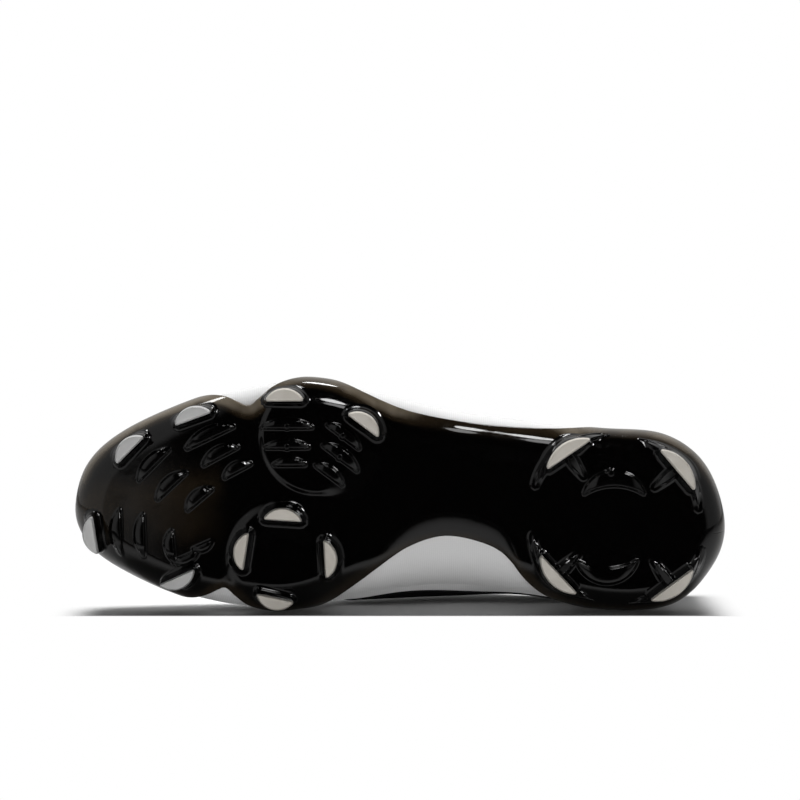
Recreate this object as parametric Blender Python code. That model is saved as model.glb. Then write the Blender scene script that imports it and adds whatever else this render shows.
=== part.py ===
"""A left baseball cleat with a moulded stud plate, lying on its medial side.

The shoe is built upright in its own frame: X from heel to toe, Y towards the lateral side,
Z up from the ground that the stud tips would stand on. An empty then lays the whole shoe on
its side: toe to -X, sole to -Y, lateral side up.
"""

import math

import bmesh
import bpy
import numpy as np
from mathutils import Matrix, Vector
from mathutils.bvhtree import BVHTree

# Driving dimensions, in metres.
SHOE_LENGTH = 0.300
BALL_WIDTH = 0.108
COLLAR_HEIGHT = 0.072
TOE_SPRING = 0.010
ARCH_RISE = 0.005
STUD_HEIGHT = 0.0115
TIP_THICKNESS = 0.0024
PLATE_THICKNESS = 0.0026
PLATE_RIM_THICKNESS = 0.0014
POD_RADIUS = 0.0255
POD_RAISE = 0.0010
WALL = 0.0020
COLLAR_PADDING = 0.0035
OVERLAY_STEP = 0.0007
UNDERLAP = 0.010
INSOLE_THICKNESS = 0.0040
TONGUE_THICKNESS = 0.0050
TONGUE_FREE_LENGTH = 0.028
EYELET_RADIUS = 0.0020
LACE_WIDTH = 0.0060
LACE_THICKNESS = 0.0014
FRONT_STUD_CHORD = 0.0160
HEEL_STUD_CHORD = 0.0225
STUD_DEPTH = 0.0050
STUD_FLARE = 0.0022
TIP_DRAFT = 0.0005
STUD_WAIST_DROP = 0.0010
BLUNT_END = 0.0013
RIB_HEIGHT = 0.0026
RIB_FLARE = 0.0010
INSOLE_DRAW = 0.0030
LACE_STACK = 0.0005
LACE_ARCH = 0.0015
SEAT_GAP = 0.0003
# Most that the plate's rim climbs round the corner from one rib to the next, in quarters of it.
RIM_CLIMB = 0.32

# How deep the roots of pods, studs and ribs are sunk into the plate that they are moulded with.
POD_ROOT = 0.00075
STUD_ROOT = 0.0009
RIB_ROOT = 0.0006
# Height of the last's flat bottom above the ground under the stud tips.
LAST_HEIGHT = STUD_HEIGHT + PLATE_THICKNESS + SEAT_GAP

# Stations around the last, from the heel to the toe. Along and spine are shares of the shoe's
# length, top_height is a share of the collar's height, lift and drop are shares of the side's
# own height, panel is the share of the side where the overlay begins, and the rest are shares
# of the ball width. Run and rise are the rounded corner between bottom and side. Pad is 1 on
# the padded collar.
COLUMNS = (
    "spine", "along", "across", "run", "rise", "top_along", "top_across", "top_height",
    "belly", "lift", "reach", "drop", "panel", "pad",
)  # fmt: skip
HEEL_BACK = (0.120, 0.006, -0.014, 0.10, 0.14, 0.022, -0.009, 1.03, 0.022, 0.40, 0.000, 0.30, 0.66, 1)
TOE_TIP = (0.867, 0.994, 0.056, 0.12, 0.12, 0.690, 0.079, 0.715, 0.000, 0.64, 0.420, 0.35, 0.86, 0)
MEDIAL = (
    (0.147, 0.024, -0.195, 0.10, 0.14, 0.045, -0.165, 0.98, 0.016, 0.40, 0.008, 0.30, 0.66, 1),
    (0.180, 0.085, -0.352, 0.10, 0.13, 0.100, -0.318, 0.90, 0.006, 0.38, 0.020, 0.30, 0.66, 1),
    (0.247, 0.193, -0.370, 0.10, 0.13, 0.205, -0.352, 0.84, 0.004, 0.38, 0.024, 0.30, 0.60, 1),
    (0.333, 0.320, -0.312, 0.16, 0.20, 0.310, -0.305, 0.93, 0.030, 0.40, 0.050, 0.28, 0.28, 0.4),
    (0.427, 0.433, -0.288, 0.19, 0.23, 0.400, -0.150, 1.11, 0.130, 0.45, 0.165, 0.20, 0.10, 0),
    (0.527, 0.550, -0.318, 0.17, 0.20, 0.500, -0.093, 0.99, 0.105, 0.50, 0.190, 0.14, 0.12, 0),
    (0.627, 0.667, -0.370, 0.11, 0.13, 0.587, -0.060, 0.87, 0.006, 0.56, 0.190, 0.12, 0.54, 0),
    (0.707, 0.763, -0.358, 0.11, 0.12, 0.640, -0.028, 0.785, 0.002, 0.56, 0.230, 0.16, 0.72, 0),
    (0.773, 0.852, -0.292, 0.11, 0.12, 0.667, 0.009, 0.745, 0.000, 0.58, 0.300, 0.24, 0.82, 0),
    (0.820, 0.942, -0.170, 0.12, 0.12, 0.683, 0.046, 0.725, 0.000, 0.62, 0.370, 0.32, 0.85, 0),
    (0.850, 0.981, -0.068, 0.12, 0.12, 0.688, 0.065, 0.717, 0.000, 0.64, 0.410, 0.35, 0.86, 0),
)
LATERAL = (
    (0.147, 0.034, 0.217, 0.10, 0.14, 0.045, 0.139, 0.98, 0.020, 0.40, 0.008, 0.30, 0.66, 1),
    (0.180, 0.096, 0.343, 0.10, 0.13, 0.100, 0.268, 0.90, 0.012, 0.38, 0.020, 0.30, 0.66, 1),
    (0.247, 0.200, 0.371, 0.10, 0.13, 0.205, 0.312, 0.84, 0.012, 0.38, 0.028, 0.30, 0.60, 1),
    (0.333, 0.320, 0.421, 0.12, 0.14, 0.310, 0.300, 0.93, 0.006, 0.40, 0.075, 0.28, 0.36, 0.4),
    (0.427, 0.427, 0.466, 0.12, 0.14, 0.400, 0.213, 1.11, 0.002, 0.42, 0.150, 0.20, 0.20, 0),
    (0.527, 0.533, 0.537, 0.12, 0.13, 0.500, 0.204, 0.97, 0.000, 0.48, 0.190, 0.14, 0.26, 0),
    (0.627, 0.637, 0.590, 0.11, 0.12, 0.587, 0.199, 0.85, 0.000, 0.52, 0.220, 0.12, 0.56, 0),
    (0.707, 0.730, 0.560, 0.11, 0.12, 0.640, 0.181, 0.775, 0.000, 0.54, 0.250, 0.16, 0.72, 0),
    (0.773, 0.819, 0.493, 0.11, 0.12, 0.667, 0.148, 0.742, 0.000, 0.58, 0.310, 0.24, 0.82, 0),
    (0.820, 0.920, 0.366, 0.12, 0.12, 0.683, 0.116, 0.724, 0.000, 0.62, 0.370, 0.32, 0.85, 0),
    (0.850, 0.975, 0.231, 0.12, 0.12, 0.688, 0.093, 0.717, 0.000, 0.64, 0.410, 0.35, 0.86, 0),
)
# Sections modelled from each station up to the next one, from the heel to the toe.
RIBS_PER_SEGMENT = (2, 3, 3, 4, 3, 3, 4, 4, 4, 3, 2, 2)
LAST_ROWS = np.array((HEEL_BACK, *MEDIAL, TOE_TIP, *reversed(LATERAL)))
AROUND = len(LAST_ROWS)
TOE_ROW = AROUND // 2

# The plate's outline from below, as shares of the shoe's length and the ball width, running
# from the heel's back along the medial side to the toe and back along the lateral side.
PLATE_OUTLINE = (
    (0.000, -0.019), (0.007, -0.124), (0.028, -0.250), (0.071, -0.352), (0.136, -0.394),
    (0.193, -0.387), (0.243, -0.354), (0.280, -0.309), (0.309, -0.237), (0.337, -0.156),
    (0.377, -0.104), (0.430, -0.078), (0.477, -0.111), (0.527, -0.179), (0.577, -0.276),
    (0.623, -0.362), (0.674, -0.394), (0.725, -0.362), (0.748, -0.311), (0.765, -0.271),
    (0.782, -0.294), (0.799, -0.327), (0.823, -0.335), (0.868, -0.295), (0.931, -0.211),
    (0.968, -0.139), (0.990, -0.060), (1.000, 0.051), (0.993, 0.167), (0.974, 0.268),
    (0.936, 0.361), (0.890, 0.437), (0.844, 0.488), (0.798, 0.526), (0.767, 0.521),
    (0.743, 0.491), (0.729, 0.475), (0.715, 0.500), (0.690, 0.563), (0.661, 0.598),
    (0.630, 0.606), (0.592, 0.585), (0.546, 0.522), (0.500, 0.463), (0.454, 0.429),
    (0.383, 0.396), (0.317, 0.381), (0.253, 0.377), (0.167, 0.392), (0.104, 0.369),
    (0.060, 0.309), (0.022, 0.205), (0.004, 0.093),
)  # fmt: skip

# Studs: name, centre of the tip's straight side as shares of length and ball width, the way
# that its round side faces, in degrees from the toe towards the lateral side, and whether it
# is one of the long heel studs.
STUDS = (
    ("toe_lateral_rear", 0.812, 0.435, 70, False),
    ("toe_lateral_front", 0.908, 0.302, 45, False),
    ("toe_front", 0.963, -0.057, -9, False),
    ("toe_medial", 0.837, -0.235, -114, False),
    ("ball_lateral_front", 0.673, 0.510, 90, False),
    ("ball_lateral_rear", 0.554, 0.403, 127, False),
    ("pivot_lateral", 0.676, 0.008, 94, False),
    ("pivot_front", 0.733, -0.125, 9, False),
    ("pivot_rear", 0.612, -0.158, 177, False),
    ("pivot_medial", 0.688, -0.322, -78, False),
    ("heel_lateral_front", 0.243, 0.280, 56, True),
    ("heel_lateral_rear", 0.079, 0.212, 140, True),
    ("heel_medial_front", 0.259, -0.226, -43, True),
    ("heel_medial_rear", 0.088, -0.270, -126, True),
)

# Low ribs: centre of the straight side, chord and depth as shares of the ball width, and facing.
RIBS = (
    (0.670, 0.392, 0.215, 0.036, 90),
    (0.670, 0.308, 0.185, 0.032, 90),
    (0.666, 0.235, 0.135, 0.028, 90),
    (0.585, 0.352, 0.170, 0.036, 127),
    (0.590, 0.262, 0.185, 0.040, 127),
    (0.607, 0.190, 0.145, 0.034, 127),
    (0.787, 0.350, 0.225, 0.042, 65),
    (0.771, 0.272, 0.170, 0.040, 62),
    (0.745, 0.210, 0.130, 0.036, 62),
    (0.873, 0.235, 0.190, 0.040, 45),
    (0.846, 0.145, 0.170, 0.040, 47),
    (0.803, 0.088, 0.140, 0.040, 50),
    (0.925, -0.048, 0.190, 0.040, -2),
    (0.889, -0.062, 0.180, 0.038, -2),
    (0.844, -0.105, 0.130, 0.036, -5),
    (0.173, 0.108, 0.255, 0.070, 90),
    (0.184, -0.170, 0.255, 0.070, -90),
)
PODS = (("lateral", 0.624, 0.352), ("pivot", 0.674, -0.152))

EYELET_COUNT = 6
EYELET_FIRST = 5.15
EYELET_LAST = 7.60
EYELET_SHARE = 2.90

BLACK = (0.010, 0.009, 0.009, 1.0)
STUD_GREY = (0.56, 0.54, 0.51, 1.0)
WHITE = (0.80, 0.80, 0.79, 1.0)
COLLAR_BLACK = (0.012, 0.012, 0.013, 1.0)


def clear_scene():
    for old in list(bpy.data.objects):
        bpy.data.objects.remove(old)


def plain_material(name, colour, roughness):
    material = bpy.data.materials.new(name)
    material.use_nodes = True
    shader = material.node_tree.nodes["Principled BSDF"]
    shader.inputs["Base Color"].default_value = colour
    shader.inputs["Roughness"].default_value = roughness
    shader.inputs["Metallic"].default_value = 0.0
    return material


def smoothstep(x):
    x = np.clip(x, 0.0, 1.0)
    return x * x * (3 - 2 * x)


def curve_through(rows, u):
    """A smooth closed curve through the rows, at the float row numbers u."""
    u = np.atleast_1d(np.asarray(u, float))
    start = np.floor(u).astype(int)
    f = (u - start)[:, None]
    a, b, c, d = (rows[(start + k) % len(rows)] for k in (-1, 0, 1, 2))
    return 0.5 * (2 * b + (c - a) * f + (2 * a - 5 * b + 4 * c - d) * f**2 + (3 * b - a - 3 * c + d) * f**3)


def station(u):
    """The last's measures at the float station numbers u, in metres, by column name."""
    raw = curve_through(LAST_ROWS, u)
    lengthwise = ("spine", "along", "top_along")
    plain = ("lift", "drop", "panel", "pad")
    scale = {name: BALL_WIDTH for name in COLUMNS}
    scale.update({name: SHOE_LENGTH for name in lengthwise})
    scale.update({name: 1.0 for name in plain})
    scale["top_height"] = COLLAR_HEIGHT
    return {name: raw[:, k] * scale[name] for k, name in enumerate(COLUMNS)}


def bottom_height(x):
    """Height of the last's bottom above the ground: flat heel, low arch, sprung toe."""
    share = np.asarray(x) / SHOE_LENGTH
    arch = ARCH_RISE * np.exp(-(((share - 0.42) / 0.11) ** 2))
    spring = TOE_SPRING * np.clip((share - 0.66) / 0.34, 0.0, None) ** 2
    return LAST_HEIGHT + arch + spring


def last_point(u, g):
    """A point on the last. g runs 0 to 1 over the flat bottom, to 2 round the corner, to 3 up the side."""
    here, across_from = station(u), station(AROUND - np.asarray(u))
    edge = np.stack([here["along"], here["across"]], 1)
    spine = np.stack([here["spine"], (here["across"] + across_from["across"]) / 2], 1)
    width = np.linalg.norm(edge - spine, axis=1)
    outward = (edge - spine) / width[:, None]
    turn = np.clip(g - 1, 0, 1) * math.pi / 2
    reach = (width - here["run"]) * np.clip(g, 0, 1) + here["run"] * np.sin(turn)
    plan = spine + outward * reach[:, None]
    bottom = np.column_stack([plan, bottom_height(plan[:, 0]) + here["rise"] * (1 - np.cos(turn))])
    start = np.column_stack([edge, bottom_height(edge[:, 0]) + here["rise"]])
    top = np.stack([here["top_along"], here["top_across"], LAST_HEIGHT + here["top_height"]], 1)
    side_height = (top[:, 2] - start[:, 2])[:, None]
    up = np.array([0.0, 0.0, 1.0])
    out = np.column_stack([outward, np.zeros(len(outward))])
    low = start + up * here["lift"][:, None] * side_height + out * here["belly"][:, None]
    high = top - up * here["drop"][:, None] * side_height + out * here["reach"][:, None]
    t = np.clip(g - 2, 0, 1)[:, None]
    side = (1 - t) ** 3 * start + 3 * t * (1 - t) ** 2 * low + 3 * t**2 * (1 - t) * high + t**3 * top
    return np.where((g > 2)[:, None], side, bottom)


def last_offset(u, g, offset):
    """Points at a distance outside the last, or inside it where the offset is negative."""
    u, g, offset = (np.asarray(a, float) for a in np.broadcast_arrays(np.atleast_1d(u), g, offset))
    point = last_point(u, g)
    step = 0.02
    along = last_point(u + step, np.maximum(g, 1)) - last_point(u - step, np.maximum(g, 1))
    outwards = last_point(u, np.minimum(g + step, 3)) - last_point(u, np.maximum(g - step, 1))
    normal = np.cross(along, outwards)
    slope = (bottom_height(point[:, 0] + 1e-4) - bottom_height(point[:, 0] - 1e-4)) / 2e-4
    down = np.column_stack([slope, np.zeros(len(g)), -np.ones(len(g))])
    normal = np.where((g > 1)[:, None], normal, down)
    normal /= np.linalg.norm(normal, axis=1)[:, None]
    return point + normal * offset[:, None]


def half_stations():
    """Station numbers of the ribs from the heel's back to the toe's tip, on the medial side."""
    found = [k + j / n for k, n in enumerate(RIBS_PER_SEGMENT) for j in range(n)]
    return np.array([*found, float(TOE_ROW)])


def plate_trim(u):
    """Where the plate ends on the rib at station u, by the plate's own outline from below."""
    outline = curve_through(np.array(PLATE_OUTLINE), np.arange(0, len(PLATE_OUTLINE), 0.25))
    outline = outline * (SHOE_LENGTH, BALL_WIDTH)
    here, across_from = station([u]), station([AROUND - u])
    edge = np.array([here["along"][0], here["across"][0]])
    spine = np.array([here["spine"][0], (here["across"][0] + across_from["across"][0]) / 2])
    width = np.linalg.norm(edge - spine)
    d = (edge - spine) / width
    a, b = outline - spine, np.roll(outline, -1, 0) - spine
    e = b - a
    det = d[0] * -e[:, 1] + d[1] * e[:, 0]
    far = (a[:, 0] * -e[:, 1] + a[:, 1] * e[:, 0]) / det
    on = (d[0] * a[:, 1] - d[1] * a[:, 0]) / det
    hit = far[(on >= 0) & (on <= 1) & (far > 0)].min()
    flat = width - here["run"][0]
    if hit < flat:
        return hit / flat
    corner = (hit - flat) / (here["run"][0] + SEAT_GAP + PLATE_RIM_THICKNESS)
    return 1 + math.asin(min(1.0, corner)) * 2 / math.pi


def place_grid(bm, points):
    """A grid of faces laid over the points, an array of rows by columns."""
    rows, columns = points.shape[:2]
    made = bmesh.ops.create_grid(bm, x_segments=columns - 1, y_segments=rows - 1, size=0.5)["verts"]
    for v in made:
        column = round((v.co.x + 0.5) * (columns - 1))
        row = round((v.co.y + 0.5) * (rows - 1))
        v.co = points[row, column]
    return made


def finish_object(name, bm, material):
    mesh = bpy.data.meshes.new(name)
    bmesh.ops.recalc_face_normals(bm, faces=bm.faces)
    bmesh.ops.triangulate(bm, faces=bm.faces)
    bm.to_mesh(mesh)
    bm.free()
    mesh.materials.append(material)
    mesh.shade_smooth()
    mesh.set_sharp_from_angle(angle=math.radians(35))
    made = bpy.data.objects.new(name, mesh)
    bpy.context.scene.collection.objects.link(made)
    return made


def skin_between(name, outer, inner, material):
    """A closed shell between two grids, whose seams and free edges are joined."""
    bm = bmesh.new()
    place_grid(bm, outer)
    bmesh.ops.remove_doubles(bm, verts=bm.verts, dist=1e-6)
    first_skin = list(bm.verts)
    made = place_grid(bm, inner)
    bmesh.ops.remove_doubles(bm, verts=made, dist=1e-6)
    free = [e for e in bm.edges if e.is_boundary]
    outer_loops = edge_loops([e for e in free if e.verts[0] in set(first_skin)])
    inner_loops = edge_loops([e for e in free if e.verts[0] not in set(first_skin)])
    for loop in outer_loops:
        middle = loop_middle(loop)
        partner = min(inner_loops, key=lambda other: (loop_middle(other) - middle).length)
        bmesh.ops.bridge_loops(bm, edges=loop + partner)
    return finish_object(name, bm, material)


def edge_loops(edges):
    """The edges sorted into connected loops."""
    loops, left = [], set(edges)
    while left:
        first = left.pop()
        loop, frontier = [first], [first]
        while frontier:
            reached = frontier.pop()
            for v in reached.verts:
                for e in v.link_edges:
                    if e in left:
                        left.remove(e)
                        loop.append(e)
                        frontier.append(e)
        loops.append(loop)
    return loops


def loop_middle(loop):
    return sum((v.co for e in loop for v in e.verts), Vector()) / (2 * len(loop))


def disc_grid(shares, offsets_at, trims, ribs):
    """A sheet over the last's bottom, from the lateral trim through the spine to the medial one."""
    grid = []
    for u in ribs:
        row = []
        for side, order in ((AROUND - u, slice(None, 0, -1)), (u, slice(None))):
            g = trims(side % AROUND, shares)
            row.append(last_offset(np.full(len(g), side), g, offsets_at(g))[order])
        grid.append(np.concatenate(row))
    return np.array(grid)


def plate_ends():
    """The plate's trim on every rib, eased so that the rim climbs the corner gradually."""
    half = half_stations()
    around = np.concatenate([half, (AROUND - half[1:-1])[::-1]])
    ends = np.array([plate_trim(u) for u in around])
    for _ in range(4):
        ends = np.minimum(ends, np.minimum(np.roll(ends, 1), np.roll(ends, -1)) + RIM_CLIMB)
    return {round(u, 3): end for u, end in zip(around, ends)}


def plate_shares(u, shares):
    """Where the plate's points lie along the rib at u: as on the upper, up to the plate's own edge."""
    end = PLATE_ENDS[round(u, 3)]
    return np.where(shares <= 1, shares * min(end, 1.0), np.minimum(shares, end))


def plate_inside(g):
    return SEAT_GAP * (1 + smoothstep((g - 0.6) / 0.6))


def plate_outside(g):
    thinned = smoothstep(g - 1) * (PLATE_THICKNESS - PLATE_RIM_THICKNESS)
    return plate_inside(g) + PLATE_THICKNESS - thinned


PLATE_ENDS = plate_ends()


def build_plate(material):
    shares = np.array([0, 0.5, 1, 4 / 3, 5 / 3, 2])
    outer = disc_grid(shares, plate_outside, plate_shares, half_stations())
    inner = disc_grid(shares, plate_inside, plate_shares, half_stations())
    return skin_between("outsole", outer, inner, material)


def crescent_ring(chord, depth, grow, steps):
    """A crescent's outline, straight side first: local x outwards to the round side, y along the chord."""
    bow = depth - BLUNT_END
    radius = (chord * chord / 4 + bow * bow) / (2 * bow)
    y = np.linspace(-chord / 2, chord / 2, steps + 1)
    arc = np.sqrt(radius * radius - y * y) - (radius - bow)
    stretched = y * (1 + 2 * grow / chord)
    straight = np.column_stack([np.full(steps + 1, -grow), stretched])
    rounded = np.column_stack([arc + BLUNT_END + grow, stretched])
    return np.concatenate([straight, rounded[::-1]])


def place_crescent(ring, along, across, facing):
    angle = math.radians(facing)
    turn = np.array([[math.cos(angle), math.sin(angle)], [-math.sin(angle), math.cos(angle)]])
    return ring @ turn + (along * SHOE_LENGTH, across * BALL_WIDTH)


def surface_under(plate_tree, point, fallback):
    hit = plate_tree.ray_cast(Vector((point[0], point[1], -1.0)), Vector((0, 0, 1)))[0]
    return hit.z if hit else fallback


def loft_crescent(bm, rings):
    """A closed solid through rings of equal counts, its ends closed by strips across the crescent."""
    loops = [[bm.verts.new(p) for p in ring] for ring in rings]
    count = len(loops[0])
    for low, high in zip(loops, loops[1:]):
        for k in range(count):
            m = (k + 1) % count
            bm.faces.new((low[k], low[m], high[m], high[k]))
    for loop in (loops[0], loops[-1]):
        for k in range(count // 2 - 1):
            bm.faces.new((loop[k], loop[k + 1], loop[count - 2 - k], loop[count - 1 - k]))


def stud_chord(is_heel):
    return HEEL_STUD_CHORD if is_heel else FRONT_STUD_CHORD


def tip_height(along):
    """Height of a stud's tip face above the ground: it follows the toe's spring."""
    return float(bottom_height(along * SHOE_LENGTH)) - LAST_HEIGHT


def lug_root(plate_tree, wide, narrow, depth):
    """A foot sunk into the plate: as wide as the flare, drawn in where the plate turns up or ends."""
    ends = []
    for far, near in zip(wide, narrow):
        level = surface_under(plate_tree, near, LAST_HEIGHT - PLATE_THICKNESS)
        for share in (1.0, 0.75, 0.5, 0.25, 0.0):
            p = near + (far - near) * share
            hit, normal = plate_tree.ray_cast(Vector((p[0], p[1], -1.0)), Vector((0, 0, 1)))[:2]
            if hit and hit.z < level + STUD_FLARE:
                break
        sunk = hit - normal * math.copysign(depth, -normal.z) if hit else Vector((p[0], p[1], level + depth))
        ends.append(tuple(sunk))
    return ends


def stud_waist(plate_tree, point, waist):
    """Height of the stud's waist: it stays below the plate where the plate comes down."""
    return min(waist, surface_under(plate_tree, point, waist) - STUD_WAIST_DROP)


def build_lugs(plate_tree, material):
    """The studs' bodies, the low ribs and the round pods, as solids to be moulded into the plate."""
    lugs = []
    for name, along, across, facing, is_heel in STUDS:
        bm = bmesh.new()
        top = tip_height(along) + TIP_THICKNESS + SEAT_GAP
        shapes = [
            place_crescent(crescent_ring(stud_chord(is_heel), STUD_DEPTH, grow, 5), along, across, facing)
            for grow in (STUD_FLARE, STUD_FLARE * 0.4, TIP_DRAFT)
        ]
        waist = top + (STUD_HEIGHT - TIP_THICKNESS) * 0.7
        rings = [
            lug_root(plate_tree, shapes[0], shapes[2], STUD_ROOT),
            [(p[0], p[1], stud_waist(plate_tree, p, waist)) for p in shapes[1]],
            [(p[0], p[1], top) for p in shapes[2]],
        ]
        loft_crescent(bm, rings)
        lugs.append(finish_object("lug_" + name, bm, material))
    for number, (along, across, chord, depth, facing) in enumerate(RIBS):
        bm = bmesh.new()
        wide, narrow = (
            place_crescent(
                crescent_ring(chord * BALL_WIDTH, depth * BALL_WIDTH, grow, 4), along, across, facing
            )
            for grow in (RIB_FLARE, 0.0)
        )
        crest = [(p[0], p[1], surface_under(plate_tree, p, LAST_HEIGHT) - RIB_HEIGHT) for p in narrow]
        loft_crescent(bm, [lug_root(plate_tree, wide, narrow, RIB_ROOT), crest])
        lugs.append(finish_object(f"lug_rib_{number}", bm, material))
    for name, along, across in PODS:
        lugs.append(build_pod(name, along, across, plate_tree, material))
    return lugs


def build_pod(name, along, across, plate_tree, material):
    """A round pod that stands a step proud of the plate."""
    sides = 20
    angles = np.arange(sides) * 2 * math.pi / sides
    centre = np.array((along * SHOE_LENGTH, across * BALL_WIDTH))
    circle = np.column_stack([np.cos(angles), np.sin(angles)])
    bm = bmesh.new()
    rings = []
    for radius, depth in ((0.55, POD_ROOT), (1.0, POD_ROOT), (0.95, -POD_RAISE), (0.55, -POD_RAISE)):
        ring = []
        for p in centre + circle * radius * POD_RADIUS:
            level = surface_under(plate_tree, p, None)
            if level is None or level > LAST_HEIGHT:
                p = centre + (p - centre) * 0.84
                level = surface_under(plate_tree, p, LAST_HEIGHT)
            ring.append((p[0], p[1], level + depth))
        rings.append([bm.verts.new(p) for p in ring])
    for low, high in zip(rings, rings[1:]):
        for k in range(sides):
            m = (k + 1) % sides
            bm.faces.new((low[k], low[m], high[m], high[k]))
    for ring in (rings[0], rings[-1]):
        middle = sum((v.co for v in ring), Vector()) / sides
        hub = bm.verts.new(middle)
        for k in range(sides):
            bm.faces.new((ring[k], ring[(k + 1) % sides], hub))
    return finish_object("lug_pod_" + name, bm, material)


def unite(target, pieces, name):
    """The pieces joined to the target by a Boolean union. They stay as hidden guides."""
    group = bpy.data.collections.new(name)
    bpy.context.scene.collection.children.link(group)
    for piece in pieces:
        bpy.context.scene.collection.objects.unlink(piece)
        group.objects.link(piece)
        piece.hide_render = True
        piece.display_type = "WIRE"
    union = target.modifiers.new(name, "BOOLEAN")
    union.operation = "UNION"
    union.operand_type = "COLLECTION"
    union.collection = group
    union.solver = "EXACT"


def build_tip(name, along, across, facing, is_heel, material):
    """The pale cap of one stud, a prism with a slight draft."""
    bm = bmesh.new()
    foot = tip_height(along)
    rings = []
    for grow, level in ((TIP_DRAFT, foot + TIP_THICKNESS), (0.0, foot)):
        ring = place_crescent(crescent_ring(stud_chord(is_heel), STUD_DEPTH, grow, 5), along, across, facing)
        rings.append([(p[0], p[1], level) for p in ring])
    loft_crescent(bm, rings)
    return finish_object("tip_" + name, bm, material)


def upper_shares(u, quarter, overlay):
    """Where the upper's points lie along the rib at u: turned-under margin, corner, quarter, overlay."""
    here, across_from = station([u]), station([AROUND - u])
    half = np.hypot(
        here["along"][0] - here["spine"][0],
        (here["across"][0] - across_from["across"][0]) / 2,
    )
    margin = 1 - UNDERLAP / (half - here["run"][0])
    seam = 2 + here["panel"][0]
    low_side = np.linspace(2, seam, quarter + 1)[1:]
    high_side = np.linspace(seam, 3, overlay + 1)[1:]
    return np.concatenate([[margin, 1, 4 / 3, 5 / 3, 2], low_side, [seam + 0.015], high_side])


def build_upper(material):
    half = half_stations()
    whole = np.concatenate([half, (AROUND - half[1:-1])[::-1], [AROUND]])
    outer, inner = [], []
    for u in whole:
        here = station([u])
        shares = upper_shares(u % AROUND, 3, 3)
        raised = np.where(shares > 2 + here["panel"][0] + 0.01, OVERLAY_STEP, 0.0)
        outer.append(last_offset(np.full(len(shares), u), shares, raised))
        shares = upper_shares(u % AROUND, 2, 2)
        shares = np.delete(shares, 7)
        padded = COLLAR_PADDING * max(here["pad"][0], 0.0) * smoothstep((shares - 2.55) / 0.3)
        inner.append(last_offset(np.full(len(shares), u), shares, -(WALL + padded)))
    return skin_between("upper", np.array(outer), np.array(inner), material)


def eyelet_stations():
    return np.linspace(EYELET_FIRST, EYELET_LAST, EYELET_COUNT)


def punch_eyelets(upper):
    """Lace holes through both eyestays, square to the wall."""
    punches = []
    depth = WALL + OVERLAY_STEP
    for number, u in enumerate(eyelet_stations()):
        for side in (u, AROUND - u):
            inside = Vector(last_offset(side, EYELET_SHARE, -depth * 2)[0])
            outside = Vector(last_offset(side, EYELET_SHARE, depth * 2)[0])
            bm = bmesh.new()
            bmesh.ops.create_cone(
                bm, cap_ends=True, segments=6, radius1=EYELET_RADIUS, radius2=EYELET_RADIUS,
                depth=(outside - inside).length,
            )  # fmt: skip
            turn = (outside - inside).to_track_quat("Z", "Y").to_matrix().to_4x4()
            bmesh.ops.transform(bm, matrix=Matrix.Translation((inside + outside) / 2) @ turn, verts=bm.verts)
            punches.append(finish_object(f"punch_{number}_{side:.2f}", bm, upper.data.materials[0]))
    unite(upper, punches, "eyelets")
    upper.modifiers["eyelets"].operation = "DIFFERENCE"


def insole_shares(u, shares):
    return shares


def insole_below(g):
    return -(WALL + 3 * SEAT_GAP + INSOLE_DRAW * np.clip(g - 1, 0, None))


def insole_above(g):
    return insole_below(g) - INSOLE_THICKNESS * (1 - 0.5 * smoothstep(g - 1))


def build_insole(material):
    shares = np.array([0, 0.5, 1, 1.25, 1.5])
    ribs = half_stations()[::2]
    low = disc_grid(shares, insole_below, insole_shares, ribs)
    high = disc_grid(shares, insole_above, insole_shares, ribs)
    return skin_between("insole", low, high, material)


def tongue_row(u, depth):
    """One section across the tongue at station u, at a depth below the upper's outer face."""
    medial, lateral = (
        last_offset(np.full(2, side), upper_shares(side, 2, 2)[-2:], -depth) for side in (u, AROUND - u)
    )
    left, right = medial[-1], lateral[-1]
    crown = 0.13 * np.linalg.norm(left - right)
    bridge = [left + (right - left) * s + (0, 0, crown * 4 * s * (1 - s)) for s in (0.25, 0.5, 0.75)]
    return np.concatenate([medial, np.array(bridge), lateral[::-1]])


def build_tongue(material):
    """The tongue under the throat: its free end stands up behind the top eyelets."""
    stations = [u for u in half_stations() if u >= 5.0]
    skins = []
    for depth in (WALL + SEAT_GAP, WALL + SEAT_GAP + TONGUE_THICKNESS):
        rows = [tongue_row(u, depth) for u in stations]
        middle = rows[0].mean(0)
        rows[0] = first = middle + (rows[0] - middle) * (1, 0.84, 1)
        direction = np.array([-0.74, 0.0, 0.67])
        free = []
        for share, width in ((1.0, 0.64), (0.85, 0.70), (0.25, 0.70)):
            moved = middle + (first - middle) * (1, width, 1) + direction * TONGUE_FREE_LENGTH * share
            free.append(moved)
        skins.append(np.array(free + rows))
    return skin_between("tongue", skins[0], skins[1], material)


def lace_run(medial_u, lateral_u, lift):
    """Points and face directions of one crossing, from a medial eyelet to a lateral one."""
    points, faces = [], []
    level = OVERLAY_STEP + 2 * SEAT_GAP + LACE_THICKNESS / 2 + lift
    for u, shares in ((medial_u, (EYELET_SHARE, 3.0)), (AROUND - lateral_u, (3.0, EYELET_SHARE))):
        for share in shares:
            low, high = (Vector(last_offset(u, share, d)[0]) for d in (level, level + LACE_THICKNESS))
            points.append(low)
            faces.append((high - low).normalized())
    span = points[2] - points[1]
    middle = (points[1] + points[2]) / 2 + Vector((0, 0, 0.13 * span.length + LACE_ARCH))
    return [*points[:2], middle, *points[2:]], [*faces[:2], Vector((0, 0, 1)), *faces[2:]]


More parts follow.
